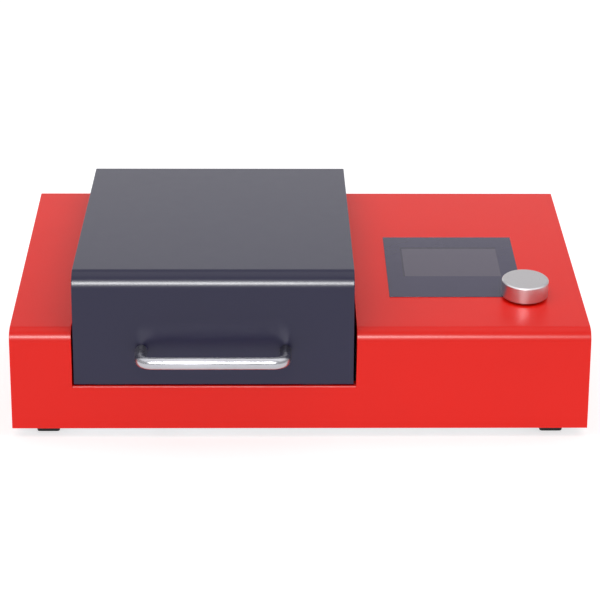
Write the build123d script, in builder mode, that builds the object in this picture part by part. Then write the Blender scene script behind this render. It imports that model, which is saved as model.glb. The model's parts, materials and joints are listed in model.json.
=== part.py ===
from build123d import *

import os
from math import cos, radians, sin, sqrt, tan

# Post-curing unit: a folded sheet-metal housing with a curing chamber under a hinged hood, and an
# electronics bay under the right side of its sloping deck. Sizes are in millimetres and degrees.
# +X points right, +Y to the back, +Z up. Z = 0 is the surface under the feet, and the origin is the
# middle of the whole unit's outline, seen from above.

# Housing: outside sizes, and the folds that its panels are screwed to
body_width = 485.0
body_depth = 285.0
front_height = 86.2
deck_slope = 8.2
deck_bend = 12.0
sheet = 1.5
fold = 12.0
panel_gap = 0.3
sill_height = 38.4
sill_bend = 2.5

# Rubber feet: square blocks that taper downwards
foot_height = 7.6
foot_width = 20.6
foot_corner = 2.0
foot_taper = 7.0
foot_inset_x = 29.0
foot_inset_y = 22.3

# Hood: outside sizes, and its gaps to the cut-out in the housing
hood_width = 234.0
hood_margin = 52.9
hood_front_height = 135.7
hood_slope = 3.35
hood_bend = 15.0
hood_rear_bend = 3.0
hood_hem = 8.0
hood_hem_bend = 2.0
hood_gap_left = 1.4
hood_gap_right = 2.5
hood_gap_sill = 0.6
hood_toe = 30.0
hood_tail_rise = 54.0
hood_tail_gap = 2.0

# Bow handle on the hood's front
handle_pitch = 120.0
handle_radius = 5.0
handle_standoff = 32.0
handle_bend = 11.0
handle_rise = 30.6

# Continuous hinge along the hood's rear edge: rolled knuckles round one pin
hinge_inset = 12.0
hinge_leaf = 19.0
hinge_sheet = 1.2
hinge_pin_radius = 1.6
hinge_knuckles = 9
hinge_knuckle_gap = 0.4
hinge_split = 1.5
hinge_screws_per_leaf = 5

# Curing chamber: a bright tub on two rails, with a glass floor over the lower lamp
tub_wall = 1.0
tub_side_gap = 3.5
tub_front_gap = 14.5
tub_rear_gap = 15.0
tub_corner = 3.0
tub_front_rim = 52.4
tub_rear_rim = 116.4
tub_floor = 30.4
lamp_edge = 17.0
floor_glass = 4.0
floor_glass_gap = 0.5
rail_flange = 12.0
rail_end_gap = 16.0

# Lamps: a finned heat sink, a circuit board and a square field of light-emitting diodes
sink_gap = 1.0
sink_base = 3.5
lower_fin_height = 15.0
upper_fin_height = 8.0
fin_thickness = 1.6
fin_count = 12
board = 1.6
diode_count = 6
diode_edge = 4.0
diode_size = 5.0
diode_height = 1.8

# Reflector tray that holds the upper lamp's glass in the hood
tray_gap = 10.0
tray_wall = 1.0
tray_depth = 25.5
tray_flange = 10.0
tray_lip = 9.0
tray_start = 38.0
lamp_glass = 3.0
stud_length = 6.5

# Interlock: a magnet in the hood, and a reed switch beside it on the tub
magnet_width = 12.0
magnet_height = 8.0
switch_width = 20.0
switch_height = 6.0

# Display panel and turning dial on the deck
overlay_width = 115.6
overlay_length = 122.2
overlay_thickness = 0.4
overlay_start = 64.7
overlay_gap = 30.2
screen_width = 84.4
screen_length = 57.0
screen_rise = 40.6
display_margin = 7.0
display_depth = 9.0
control_board_width = 104.0
control_board_length = 100.0
control_board_lead = 24.8
chip_size = 12.0
chip_height = 3.2
dial_side_gap = 49.2
dial_along = 67.1
dial_radius = 20.0
dial_height = 15.0
dial_gap = 1.2
dial_chamfer = 1.0
dial_roof = 2.5
shaft_radius = 3.0
shaft_flat = 2.5
shaft_running_gap = 0.04
collar_radius = 4.2
bushing_radius = 3.5
bushing_height = 5.0
encoder_size = 14.0
encoder_wall = 1.0
encoder_depth = 7.5
plunger_radius = 4.8
plunger_height = 1.0
nut_height = 2.0

# Parts on the rear panel and on the floor of the electronics bay
fan_size = 80.0
fan_depth = 25.0
fan_wall = 2.0
fan_corner = 3.0
fan_screw_inset = 4.25
fan_side_gap = 18.5
fan_floor_gap = 22.0
fan_carrier = 3.0
hub_radius = 16.0
blade_count = 7
blade_chord = 20.0
blade_thickness = 1.6
blade_root = 1.0
blade_pitch = 40.0
blade_tip_gap = 1.4
guard_reach = 7.0
guard_wire = 0.9
guard_spoke = 1.1
guard_weld = 0.5
guard_eye = 5.5
guard_eye_height = 2.6
guard_rings = 4
inlet_rise = 54.0
inlet_width = 27.0
inlet_height = 53.0
inlet_flange = 2.5
inlet_flange_margin = 2.5
inlet_flange_corner = 2.0
inlet_body_depth = 28.0
inlet_ear_pitch = 40.0
inlet_ear_height = 12.0
inlet_ear_corner = 5.0
socket_drop = 14.5
socket_width = 24.0
socket_height = 16.4
socket_corner = 4.5
socket_depth = 17.0
contact_recess = 5.0
contact_pitch = 7.0
contact_offset = 2.0
contact_width = 2.0
contact_height = 4.0
rocker_rise = 17.5
rocker_radius = 9.6
rocker_length = 13.0
rocker_dip = 3.0
rocker_tip = 5.5
rocker_pivot_depth = 2.5
rocker_angle = 8.0
pivot_room = 1.0
pivot_reach = 0.6
drawer_rise = 2.0
drawer_width = 23.0
drawer_height = 8.0
drawer_depth = 18.0
drawer_proud = 1.0
drawer_wall = 2.0
drawer_floor = 1.0
fuse_radius = 2.5
fuse_length = 20.0
supply_width = 98.0
supply_length = 129.0
supply_height = 38.0
supply_fan_gap = 14.5
supply_slot = 26.0
terminal_depth = 15.0
terminal_gap = 2.0
driver_width = 110.0
driver_length = 58.0
driver_gap = 3.0
coil_size = 20.0
coil_height = 12.0
capacitor_radius = 6.0
capacitor_height = 20.0
standoff_height = 8.0
standoff_width = 5.5
standoff_inset = 6.0

# Air slots in the base plate and the rear panel
vent_length = 38.0
vent_width = 4.0
vent_step = 12.0
rear_vent_height = 44.0
rear_vent_step = 14.0
rear_vent_count = 13

# Fasteners and small clearances
fixed_gap = 0.02
running_gap = 0.06
small_screw = 1.5
large_screw = 2.0
head_ratio = 1.85
head_height_ratio = 1.1
screw_gap = 0.1
slide_gap = 0.2
cut_over = 5.0

# Places worked out from the sizes above
side_x = body_width / 2
base_z = foot_height
floor_z = base_z + sheet
corner_z = base_z + front_height
deck_rise = tan(radians(deck_slope))
deck_back_z = corner_z + body_depth * deck_rise
sill_z = base_z + sill_height
hinge_bore = hinge_pin_radius + running_gap
knuckle_radius = hinge_bore + hinge_sheet
rear_reach = max(guard_reach, 2 * knuckle_radius)
handle_reach = handle_standoff + handle_radius
front_y = (handle_reach - body_depth - rear_reach) / 2
back_y = front_y + body_depth
hood_x = hood_margin + hood_width / 2 - side_x
cut_left = hood_x - hood_width / 2 - hood_gap_left
cut_right = hood_x + hood_width / 2 + hood_gap_right
hood_base_z = sill_z + hood_gap_sill
hood_corner_z = base_z + hood_front_height
hood_rise = tan(radians(hood_slope))
hood_back_z = hood_corner_z + body_depth * hood_rise
under_deck = sheet / cos(radians(deck_slope))
under_hood = sheet / cos(radians(hood_slope))
rear_top_z = deck_back_z - under_deck - 2 * sheet * deck_rise - panel_gap
hinge_z = rear_top_z + hinge_knuckle_gap
hinge_y = back_y + knuckle_radius
hood_foot_z = hinge_z + hinge_knuckle_gap
handle_z = hood_base_z + handle_rise
partition_x = cut_right + sheet + panel_gap
bay_x = (partition_x + side_x) / 2
small_hole = small_screw + screw_gap
large_hole = large_screw + screw_gap

tub_width = hood_width - 2 * (sheet + tub_side_gap)
tub_front_y = front_y + tub_front_gap
tub_rear_y = back_y - tub_rear_gap
tub_y = (tub_front_y + tub_rear_y) / 2
tub_floor_z = base_z + tub_floor
tub_inner_z = tub_floor_z + tub_wall
lamp_window = tub_width - 2 * lamp_edge
sink_size = lamp_window - 2 * sink_gap
diode_pitch = (sink_size - 2 * diode_edge) / diode_count
tray_size = sink_size + 2 * tray_gap
hinge_length = hood_width - 2 * hinge_inset
overlay_x = cut_right + overlay_gap + overlay_width / 2
screen_start = overlay_start + screen_rise
control_board_start = screen_start - control_board_lead
dial_x = side_x - dial_side_gap
fan_radius = fan_size / 2 - fan_wall
fan_pitch = fan_size - 2 * fan_screw_inset
fan_x = side_x - fan_side_gap - fan_size / 2
fan_z = base_z + fan_floor_gap + fan_size / 2
fan_front_y = back_y - sheet - fan_depth
inlet_x = (partition_x + sheet + fan_x - fan_size / 2) / 2
inlet_z = base_z + inlet_rise
inlet_face_y = back_y + inlet_flange
supply_y = fan_front_y - supply_fan_gap - supply_length / 2
driver_y = front_y + sheet + fold + driver_gap + driver_length / 2

# Planes: x to the right and y up the slope on the deck and the hood, and x, z on upright ones
tilt = radians(deck_slope)
deck = Plane(origin=(0, front_y, corner_z), x_dir=(1, 0, 0), z_dir=(0, -sin(tilt), cos(tilt)))
hood_tilt = radians(hood_slope)
hood_top = Plane(
    origin=(hood_x, front_y, hood_corner_z),
    x_dir=(1, 0, 0),
    z_dir=(0, -sin(hood_tilt), cos(hood_tilt)),
)


def upright(y):
    """The upright plane at depth y: its x is the unit's X, its y the unit's Z, and it faces forwards."""
    return Plane.XZ.offset(-y)


def facing_back(y):
    """The upright plane at depth y that faces backwards, so that its x runs towards the left."""
    return Plane(origin=(0, y, 0), x_dir=(-1, 0, 0), z_dir=(0, 1, 0))


def from_behind(points):
    """The same points, as they lie on a plane that faces backwards."""
    return [(-x, z) for x, z in points]


def corners(width, length, middle=(0, 0)):
    """The four corners of a rectangle about its middle."""
    x, y = middle
    return [(x + i * width / 2, y + j * length / 2) for i in (-1, 1) for j in (-1, 1)]


def screws(sites, radius, length):
    """Pan-head screws: on each plane the heads stand on it, and the shanks go down through it."""
    with BuildPart() as group:
        for plane, points in sites:
            with BuildSketch(plane):
                with Locations(*points):
                    Circle(radius * head_ratio)
            extrude(amount=radius * head_height_ratio)
            with BuildSketch(plane):
                with Locations(*points):
                    Circle(radius)
            extrude(amount=-length)
    return group


def heat_sink(plane, fin_height):
    """A finned plate that lies on the plane, with its fins standing on the plate's other side."""
    with BuildPart() as sink:
        with BuildSketch(plane):
            Rectangle(sink_size, sink_size)
        extrude(amount=sink_base)
        with BuildSketch(plane.offset(sink_base)):
            with GridLocations((sink_size - fin_thickness) / (fin_count - 1), 0, fin_count, 1):
                Rectangle(fin_thickness, sink_size)
        extrude(amount=fin_height)
    return sink


def diode_field(plane):
    """The square field of diodes on a lamp's board."""
    with BuildPart() as field:
        with BuildSketch(plane):
            with GridLocations(diode_pitch, diode_pitch, diode_count, diode_count):
                Rectangle(diode_size, diode_size)
        extrude(amount=diode_height)
    return field


os.makedirs("parts", exist_ok=True)

# Places of the screws, each used for the holes and for the screws themselves
side_fold_x = side_x - sheet - fold / 2
front_fold_y = front_y + sheet + fold / 2
rear_fold_y = back_y - sheet - fold / 2
base_screw_points = [(i * side_fold_x, front_y + body_depth * j) for i in (-1, 1) for j in (0.2, 0.5, 0.8)]
base_screw_points += [(i * body_width / 4, y) for i in (-1, 1) for y in (front_fold_y, rear_fold_y)]
top_fold_z = rear_top_z - fold / 2
rear_screw_points = [(i * side_fold_x, base_z + front_height * j) for i in (-1, 1) for j in (0.35, 1.0)]
rear_screw_points += [((cut_left - side_x) / 2, top_fold_z), (cut_right + 2 * fold, top_fold_z)]
rear_screw_points += [(side_x - 4 * fold, top_fold_z)]
hinge_screw_pitch = hinge_length / hinge_screws_per_leaf
hinge_screw_x = [hood_x + hinge_screw_pitch * (i - (hinge_screws_per_leaf - 1) / 2)
                 for i in range(hinge_screws_per_leaf)]
leaf_screw_drop = (knuckle_radius + hinge_leaf) / 2
fixed_leaf_points = [(x, hinge_z - leaf_screw_drop) for x in hinge_screw_x]
hood_leaf_points = [(x, hinge_z + leaf_screw_drop) for x in hinge_screw_x]
handle_points = [(hood_x + i * handle_pitch / 2, handle_z) for i in (-1, 1)]
fan_screw_points = corners(fan_pitch, fan_pitch, (fan_x, fan_z))
inlet_screw_points = [(inlet_x + i * inlet_ear_pitch / 2, inlet_z - socket_drop) for i in (-1, 1)]
control_board_y = control_board_start + control_board_length / 2
control_points = corners(
    control_board_width - 2 * standoff_inset,
    control_board_length - 2 * standoff_inset,
    (overlay_x, control_board_y),
)
driver_points = corners(
    driver_width - 2 * standoff_inset, driver_length - 2 * standoff_inset, (bay_x, driver_y)
)
rail_x = lamp_window / 2 + 3 * sheet + rail_flange / 2
rail_length = tub_rear_y - tub_front_y - 2 * rail_end_gap
rail_points = corners(2 * rail_x, rail_length * 0.8, (hood_x, tub_y))
stud_x = tray_size / 2 + tray_flange / 2
stud_points = [(i * stud_x, tray_start + tray_size * j) for i in (-1, 1) for j in (0.15, 0.85)]

# Housing shell: front, deck and sides in one folded sheet, with a cut-out for the hood
with BuildPart() as housing_shell:
    with BuildSketch(Plane.YZ.offset(-side_x)):
        with BuildLine():
            Polyline(
                (front_y, base_z),
                (front_y, corner_z),
                (back_y, deck_back_z),
                (back_y, base_z),
                close=True,
            )
        make_face()
    extrude(amount=body_width)
    front_edges = housing_shell.edges().filter_by(Axis.X).group_by(Axis.Y)[0]
    fillet(front_edges.sort_by(Axis.Z)[-1], deck_bend)
    bottom = housing_shell.faces().sort_by(Axis.Z)[0]
    rear = housing_shell.faces().sort_by(Axis.Y)[-1]
    offset(amount=-sheet, openings=[bottom, rear])
    # Opening for the hood, from the sill upwards and through to the rear edge
    with BuildSketch(Plane.XY.offset(sill_z - sill_bend)):
        with Locations(((cut_left + cut_right) / 2, front_y + body_depth / 2)):
            Rectangle(cut_right - cut_left, body_depth + 2 * cut_over)
    extrude(amount=deck_back_z, mode=Mode.SUBTRACT)
    # Sill: the front's upper edge under the hood, folded inwards
    with BuildSketch(Plane.YZ.offset(cut_left)):
        with BuildLine():
            Polyline(
                (front_y, sill_z - sill_bend),
                (front_y, sill_z),
                (front_y + fold, sill_z),
                (front_y + fold, sill_z - sheet),
                (front_y + sheet, sill_z - sheet),
                (front_y + sheet, sill_z - sill_bend),
                close=True,
            )
        make_face()
        outer_corner = vertices().group_by(Axis.X)[0].sort_by(Axis.Y)[-1]
        fillet(outer_corner, sill_bend - panel_gap)
    extrude(amount=cut_right - cut_left)
    # Folds along both sides of the opening, down from the deck and in from the front
    for fold_x in (cut_left - sheet, cut_right):
        with BuildSketch(Plane.YZ.offset(fold_x)):
            with BuildLine():
                Polyline(
                    (front_y, sill_z - sheet),
                    (front_y, corner_z),
                    (back_y - 2 * sheet, deck_back_z - 2 * sheet * deck_rise),
                    (back_y - 2 * sheet, deck_back_z - fold),
                    (front_y + fold, corner_z + fold * deck_rise - fold),
                    (front_y + fold, sill_z - sheet),
                    close=True,
                )
            make_face()
            outer_corner = vertices().group_by(Axis.X)[0].sort_by(Axis.Y)[-1]
            fillet(outer_corner, deck_bend)
        extrude(amount=sheet)
    # Folds round the underside for the base plate
    with BuildSketch(Plane.XY.offset(floor_z)):
        with Locations((0, front_y + body_depth / 2 - sheet)):
            Rectangle(body_width - sheet, body_depth - 2 * sheet)
        with Locations((0, front_y + body_depth / 2 + fold / 2 + sheet)):
            Rectangle(body_width - 2 * (sheet + fold), body_depth - fold, mode=Mode.SUBTRACT)
        with Locations((0, front_y)):
            Rectangle(body_width, sheet, mode=Mode.SUBTRACT)
        with Locations((0, back_y)):
            Rectangle(body_width, 4 * sheet + 2 * fold, mode=Mode.SUBTRACT)
    extrude(amount=sheet)
    # Folds at the back for the rear panel: down both sides, and under the deck beside the hood
    with BuildSketch(upright(back_y - sheet)):
        for i in (-1, 1):
            with Locations((i * side_fold_x, (floor_z + deck_back_z - sheet) / 2)):
                Rectangle(fold + sheet, deck_back_z - sheet - floor_z)
        for low_x, high_x in ((-side_x, cut_left), (cut_right, side_x)):
            with Locations(((low_x + high_x) / 2, deck_back_z - sheet - fold / 2)):
                Rectangle(high_x - low_x - sheet, fold)
    extrude(amount=sheet)
    # Window for the screen and hole for the dial's bushing
    with BuildSketch(deck.offset(cut_over)):
        with Locations((overlay_x, screen_start + screen_length / 2)):
            Rectangle(screen_width, screen_length)
        with Locations((dial_x, dial_along)):
            Circle(bushing_radius + screw_gap)
    extrude(amount=-2 * cut_over, mode=Mode.SUBTRACT)
    # Threaded holes in the folds
    with BuildSketch(Plane.XY.offset(floor_z)):
        with Locations(*base_screw_points):
            Circle(small_hole)
    extrude(amount=sheet, mode=Mode.SUBTRACT)
    with BuildSketch(upright(back_y - sheet)):
        with Locations(*rear_screw_points):
            Circle(small_hole)
    extrude(amount=sheet, mode=Mode.SUBTRACT)
housing_shell.part.label = "housing_shell"
export_step(housing_shell.part, "parts/housing_shell.step")

# Base plate: lies inside the housing's lower edge, with air slots under the lamp and the supply
with BuildPart() as base_plate:
    with BuildSketch(Plane.XY.offset(base_z)):
        with Locations((0, front_y + body_depth / 2)):
            Rectangle(body_width - 2 * (sheet + panel_gap), body_depth - 2 * (sheet + panel_gap))
        for vent_middle, columns, rows in (((hood_x, tub_y), 3, 9), ((bay_x, driver_y), 2, 3)):
            with Locations(vent_middle):
                with GridLocations(vent_length + vent_step, vent_step, columns, rows):
                    Rectangle(vent_length, vent_width, mode=Mode.SUBTRACT)
        with Locations(*base_screw_points, *rail_points, *driver_points):
            Circle(small_hole, mode=Mode.SUBTRACT)
    extrude(amount=sheet)
base_plate.part.label = "base_plate"
export_step(base_plate.part, "parts/base_plate.step")

# Rear panel: one sheet with a fold under its lower edge, holes for the fan and the power inlet
with BuildPart() as rear_panel:
    with BuildSketch(upright(back_y)):
        with Locations((0, (base_z + rear_top_z) / 2)):
            Rectangle(body_width - 2 * (sheet + panel_gap), rear_top_z - base_z)
        with Locations((fan_x, fan_z)):
            Circle(fan_radius, mode=Mode.SUBTRACT)
        with Locations((inlet_x, inlet_z)):
            Rectangle(inlet_width + 2 * screw_gap, inlet_height + 2 * screw_gap, mode=Mode.SUBTRACT)
        with Locations((hood_x, base_z + front_height / 2)):
            with GridLocations(rear_vent_step, 0, rear_vent_count, 1):
                Rectangle(vent_width, rear_vent_height, mode=Mode.SUBTRACT)
        with Locations(*rear_screw_points, *fixed_leaf_points, *inlet_screw_points):
            Circle(small_hole, mode=Mode.SUBTRACT)
        with Locations(*fan_screw_points):
            Circle(large_hole, mode=Mode.SUBTRACT)
    extrude(amount=sheet)
    with BuildSketch(Plane.XY.offset(floor_z)):
        with Locations((0, rear_fold_y + sheet / 2)):
            Rectangle(body_width - 4 * sheet - 2 * fold, fold + sheet)
        with Locations(*base_screw_points):
            Circle(small_hole, mode=Mode.SUBTRACT)
    extrude(amount=sheet)
rear_panel.part.label = "rear_panel"
export_step(rear_panel.part, "parts/rear_panel.step")

rear_panel_screws = screws([(facing_back(back_y), from_behind(rear_screw_points))], small_screw, 4 * sheet)
rear_panel_screws.part.label = "rear_panel_screws"
export_step(rear_panel_screws.part, "parts/rear_panel_screws.step")

underside = Plane.XY.offset(base_z).rotated((180, 0, 0))
base_screws = screws([(underside, [(x, -y) for x, y in base_screw_points])], small_screw, 4 * sheet)
base_screws.part.label = "base_screws"
export_step(base_screws.part, "parts/base_screws.step")

# Feet: four tapered rubber blocks stuck under the base plate
foot_x = side_x - foot_inset_x
foot_places = {
    "foot_front_left": (-foot_x, front_y + foot_inset_y),
    "foot_front_right": (foot_x, front_y + foot_inset_y),
    "foot_rear_left": (-foot_x, back_y - foot_inset_y),
    "foot_rear_right": (foot_x, back_y - foot_inset_y),
}
for foot_name, foot_place in foot_places.items():
    with BuildPart() as foot:
        with BuildSketch(Plane.XY.offset(base_z)):
            with Locations(foot_place):
                Rectangle(foot_width, foot_width)
            chamfer(vertices(), foot_corner)
        extrude(amount=-foot_height, taper=foot_taper)
    foot.part.label = foot_name
    export_step(foot.part, f"parts/{foot_name}.step")

# Curing chamber: a tub whose rim rises to the back, open over the lower lamp
with BuildPart() as chamber_tub:
    with BuildSketch(Plane.YZ.offset(hood_x - tub_width / 2)):
        with BuildLine():
            Polyline(
                (tub_front_y, tub_floor_z),
                (tub_front_y, base_z + tub_front_rim),
                (tub_rear_y, base_z + tub_rear_rim),
                (tub_rear_y, tub_floor_z),
                close=True,
            )
        make_face()
    extrude(amount=tub_width)
    fillet(chamber_tub.edges().filter_by(Axis.Z), tub_corner)
    rim = chamber_tub.faces().sort_by(Axis.Z)[-1]
    offset(amount=-tub_wall, openings=[rim])
    with BuildSketch(Plane.XY.offset(tub_floor_z)):
        with Locations((hood_x, tub_y)):
            Rectangle(lamp_window, lamp_window)
    extrude(amount=tub_wall, mode=Mode.SUBTRACT)
chamber_tub.part.label = "chamber_tub"
export_step(chamber_tub.part, "parts/chamber_tub.step")

for rail_name, side in (("chamber_rail_left", -1), ("chamber_rail_right", 1)):
    with BuildPart() as rail:
        with BuildSketch(upright(tub_y - rail_length / 2)):
            with Locations((hood_x + side * rail_x, (floor_z + tub_floor_z) / 2)):
                Rectangle(rail_flange, tub_floor_z - floor_z)
            with Locations((hood_x + side * (rail_x + sheet), (floor_z + tub_floor_z) / 2)):
                Rectangle(rail_flange, tub_floor_z - floor_z - 2 * sheet, mode=Mode.SUBTRACT)
        extrude(amount=-rail_length)
        with BuildSketch(Plane.XY.offset(floor_z)):
            with Locations(*rail_points):
                Circle(small_hole)
        extrude(amount=sheet, mode=Mode.SUBTRACT)
    rail.part.label = rail_name
    export_step(rail.part, f"parts/{rail_name}.step")

rail_screws = screws([(underside, [(x, -y) for x, y in rail_points])], small_screw, 4 * sheet)
rail_screws.part.label = "rail_screws"
export_step(rail_screws.part, "parts/rail_screws.step")

with BuildPart() as chamber_glass:
    glass_loss = 2 * (tub_wall + floor_glass_gap)
    with BuildSketch(Plane.XY.offset(tub_inner_z)):
        with Locations((hood_x, tub_y)):
            RectangleRounded(tub_width - glass_loss, tub_rear_y - tub_front_y - glass_loss, tub_corner)
    extrude(amount=floor_glass)
chamber_glass.part.label = "chamber_glass"
export_step(chamber_glass.part, "parts/chamber_glass.step")

# Lower lamp: its sink stands on the base plate on its fins, and its diodes face up
lower_sink_z = floor_z + lower_fin_height + sink_base
lower_middle = (hood_x, tub_y, lower_sink_z)
lower_heat_sink = heat_sink(Plane(origin=lower_middle, x_dir=(1, 0, 0), z_dir=(0, 0, -1)), lower_fin_height)
lower_heat_sink.part.label = "lower_heat_sink"
export_step(lower_heat_sink.part, "parts/lower_heat_sink.step")

with BuildPart() as lower_lamp_board:
    with BuildSketch(Plane.XY.offset(lower_sink_z)):
        with Locations((hood_x, tub_y)):
            Rectangle(sink_size, sink_size)
    extrude(amount=board)
lower_lamp_board.part.label = "lower_lamp_board"
export_step(lower_lamp_board.part, "parts/lower_lamp_board.step")

lower_diodes = diode_field(Plane(origin=lower_middle).offset(board))
lower_diodes.part.label = "lower_diodes"
export_step(lower_diodes.part, "parts/lower_diodes.step")

# Partition between the chamber and the electronics bay, standing on a fold
with BuildPart() as partition_panel:
    with BuildSketch(Plane.YZ.offset(partition_x)):
        low_y = front_y + 2 * sheet
        high_y = back_y - 2 * sheet - panel_gap
        with BuildLine():
            Polyline(
                (low_y + fold, floor_z),
                (low_y + fold, floor_z + 2 * sheet),
                (low_y, floor_z + 2 * sheet),
                (low_y, sill_z),
                (front_y + fold, corner_z - fold),
                (front_y + fold + sheet, corner_z + fold * deck_rise - under_deck - panel_gap),
                (high_y, deck_back_z - (back_y - high_y) * deck_rise - under_deck - panel_gap),
                (high_y, floor_z + 2 * sheet),
                (high_y - fold, floor_z + 2 * sheet),
                (high_y - fold, floor_z),
                close=True,
            )
        make_face()
    extrude(amount=sheet)
    with BuildSketch(Plane.XY.offset(floor_z)):
        with Locations((partition_x + fold / 2, front_y + body_depth / 2)):
            Rectangle(fold, body_depth - 4 * fold)
    extrude(amount=sheet)
partition_panel.part.label = "partition_panel"
export_step(partition_panel.part, "parts/partition_panel.step")

# Hood: a folded sheet with front, top, rear and side walls. Below the deck the sides run down beside
# the tub, and their lower edges rise to the back so that they clear the rear panel as it opens.
with BuildPart() as hood_shell:
    tail_y = back_y - 2 * sheet - hood_tail_gap
    with BuildSketch(Plane.YZ.offset(hood_x - hood_width / 2)):
        with BuildLine():
            Polyline(
                (front_y, hood_base_z),
                (front_y, hood_corner_z),
                (back_y, hood_back_z),
                (back_y, hood_foot_z),
                (tail_y, hood_foot_z),
                (tail_y, hood_base_z + hood_tail_rise),
                (front_y + hood_toe, hood_base_z),
                close=True,
            )
        make_face()
        front_points = vertices().group_by(Axis.X)[0].sort_by(Axis.Y)
        fillet(front_points[-1], hood_bend)
        fillet(vertices().group_by(Axis.X)[0].sort_by(Axis.Y)[0], hood_hem_bend)
        fillet(vertices().sort_by(Axis.Y)[-1], hood_rear_bend)
    extrude(amount=hood_width)
    with BuildSketch(Plane.YZ.offset(hood_x - hood_width / 2 + sheet)):
        with BuildLine():
            Polyline(
                (front_y + sheet, base_z),
                (front_y + sheet, hood_corner_z + sheet * hood_rise - under_hood),
                (back_y - sheet, hood_back_z - sheet * hood_rise - under_hood),
                (back_y - sheet, base_z),
                close=True,
            )
        make_face()
        fillet(vertices().group_by(Axis.X)[0].sort_by(Axis.Y)[-1], hood_bend - sheet)
        fillet(vertices().sort_by(Axis.Y)[-1], hood_rear_bend - sheet)
    extrude(amount=hood_width - 2 * sheet, mode=Mode.SUBTRACT)
    # Hem: the front's lower edge, folded inwards
    with BuildSketch(Plane.YZ.offset(hood_x - hood_width / 2)):
        with BuildLine():
            Polyline(
                (front_y, hood_base_z + 2 * sheet),
                (front_y, hood_base_z),
                (front_y + hood_hem, hood_base_z),
                (front_y + hood_hem, hood_base_z + sheet),
                (front_y + sheet, hood_base_z + sheet),
                (front_y + sheet, hood_base_z + 2 * sheet),
                close=True,
            )
        make_face()
        fillet(vertices().group_by(Axis.X)[0].sort_by(Axis.Y)[0], hood_hem_bend)
    extrude(amount=hood_width)
    # Studs under the top that hold the reflector tray
    with BuildSketch(hood_top.offset(-sheet / 2)):
        with Locations(*stud_points):
            Circle(small_screw)
    extrude(amount=-sheet / 2 - stud_length)
    with BuildSketch(upright(front_y + 2 * sheet)):
        with Locations(*handle_points):
            Circle(large_hole)
    extrude(amount=3 * sheet, mode=Mode.SUBTRACT)
    with BuildSketch(upright(back_y)):
        with Locations(*hood_leaf_points):
            Circle(small_hole)
    extrude(amount=sheet, mode=Mode.SUBTRACT)
hood_shell.part.label = "hood_shell"
export_step(hood_shell.part, "parts/hood_shell.step")

with BuildPart() as hood_handle:
    with BuildLine(Plane.XY.offset(handle_z)):
        handle_path = FilletPolyline(
            (hood_x - handle_pitch / 2, front_y),
            (hood_x - handle_pitch / 2, front_y - handle_standoff),
            (hood_x + handle_pitch / 2, front_y - handle_standoff),
            (hood_x + handle_pitch / 2, front_y),
            radius=handle_bend,
        )
    with BuildSketch(Plane(origin=handle_path @ 0, z_dir=handle_path % 0)):
        Circle(handle_radius)
    sweep()
    with BuildSketch(upright(front_y)):
        with Locations(*handle_points):
            Circle(large_hole)
    extrude(amount=handle_standoff / 2, mode=Mode.SUBTRACT)
hood_handle.part.label = "hood_handle"
export_step(hood_handle.part, "parts/hood_handle.step")

handle_screws = screws([(facing_back(front_y + sheet), from_behind(handle_points))], large_screw,
                       handle_standoff / 2)
handle_screws.part.label = "handle_screws"
export_step(handle_screws.part, "parts/handle_screws.step")

# Rubber strips on the sill that the hood's hem rests on
with BuildPart() as hood_buffers:
    with BuildSketch(Plane.XY.offset(sill_z)):
        with Locations((hood_x, front_y + (hood_hem_bend + hood_hem) / 2)):
            with GridLocations(hood_width - 2 * hood_toe, 0, 2, 1):
                Rectangle(2 * fold, hood_hem - hood_hem_bend)
    extrude(amount=hood_gap_sill)
hood_buffers.part.label = "hood_buffers"
export_step(hood_buffers.part, "parts/hood_buffers.step")

# Upper lamp: sink, board and diodes under the hood's top, behind a glass in a reflector tray
tray_y = tray_start + tray_size / 2
upper_sink_depth = sheet + upper_fin_height + sink_base
upper_middle = hood_top * Location((0, tray_y, -upper_sink_depth))
upper_heat_sink = heat_sink(Plane(upper_middle), upper_fin_height)
upper_heat_sink.part.label = "upper_heat_sink"
export_step(upper_heat_sink.part, "parts/upper_heat_sink.step")

with BuildPart() as upper_lamp_board:
    with BuildSketch(Plane(upper_middle)):
        Rectangle(sink_size, sink_size)
    extrude(amount=-board)
upper_lamp_board.part.label = "upper_lamp_board"
export_step(upper_lamp_board.part, "parts/upper_lamp_board.step")

upper_diodes = diode_field(Plane(upper_middle).offset(-board - diode_height))
upper_diodes.part.label = "upper_diodes"
export_step(upper_diodes.part, "parts/upper_diodes.step")

with BuildPart() as reflector_tray:
    tray_plane = Plane(hood_top * Location((0, tray_y, -sheet)))
    with BuildSketch(tray_plane):
        Rectangle(tray_size + 2 * tray_flange, tray_size + 2 * tray_flange)
        Rectangle(tray_size - 2 * tray_wall, tray_size - 2 * tray_wall, mode=Mode.SUBTRACT)
        with Locations((0, -tray_y)):
            with Locations(*stud_points):
                Circle(small_hole, mode=Mode.SUBTRACT)
    extrude(amount=-tray_wall)
    with BuildSketch(tray_plane):
        Rectangle(tray_size, tray_size)
        Rectangle(tray_size - 2 * tray_wall, tray_size - 2 * tray_wall, mode=Mode.SUBTRACT)
    extrude(amount=-tray_depth)
    with BuildSketch(tray_plane.offset(tray_wall - tray_depth)):
        Rectangle(tray_size, tray_size)
        Rectangle(tray_size - 2 * tray_lip, tray_size - 2 * tray_lip, mode=Mode.SUBTRACT)
    extrude(amount=-tray_wall)
reflector_tray.part.label = "reflector_tray"
export_step(reflector_tray.part, "parts/reflector_tray.step")

with BuildPart() as hood_glass:
    with BuildSketch(tray_plane.offset(tray_wall - tray_depth)):
        Rectangle(tray_size - 2 * tray_wall - 2 * floor_glass_gap,
                  tray_size - 2 * tray_wall - 2 * floor_glass_gap)
    extrude(amount=lamp_glass)
hood_glass.part.label = "hood_glass"
export_step(hood_glass.part, "parts/hood_glass.step")

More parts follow.
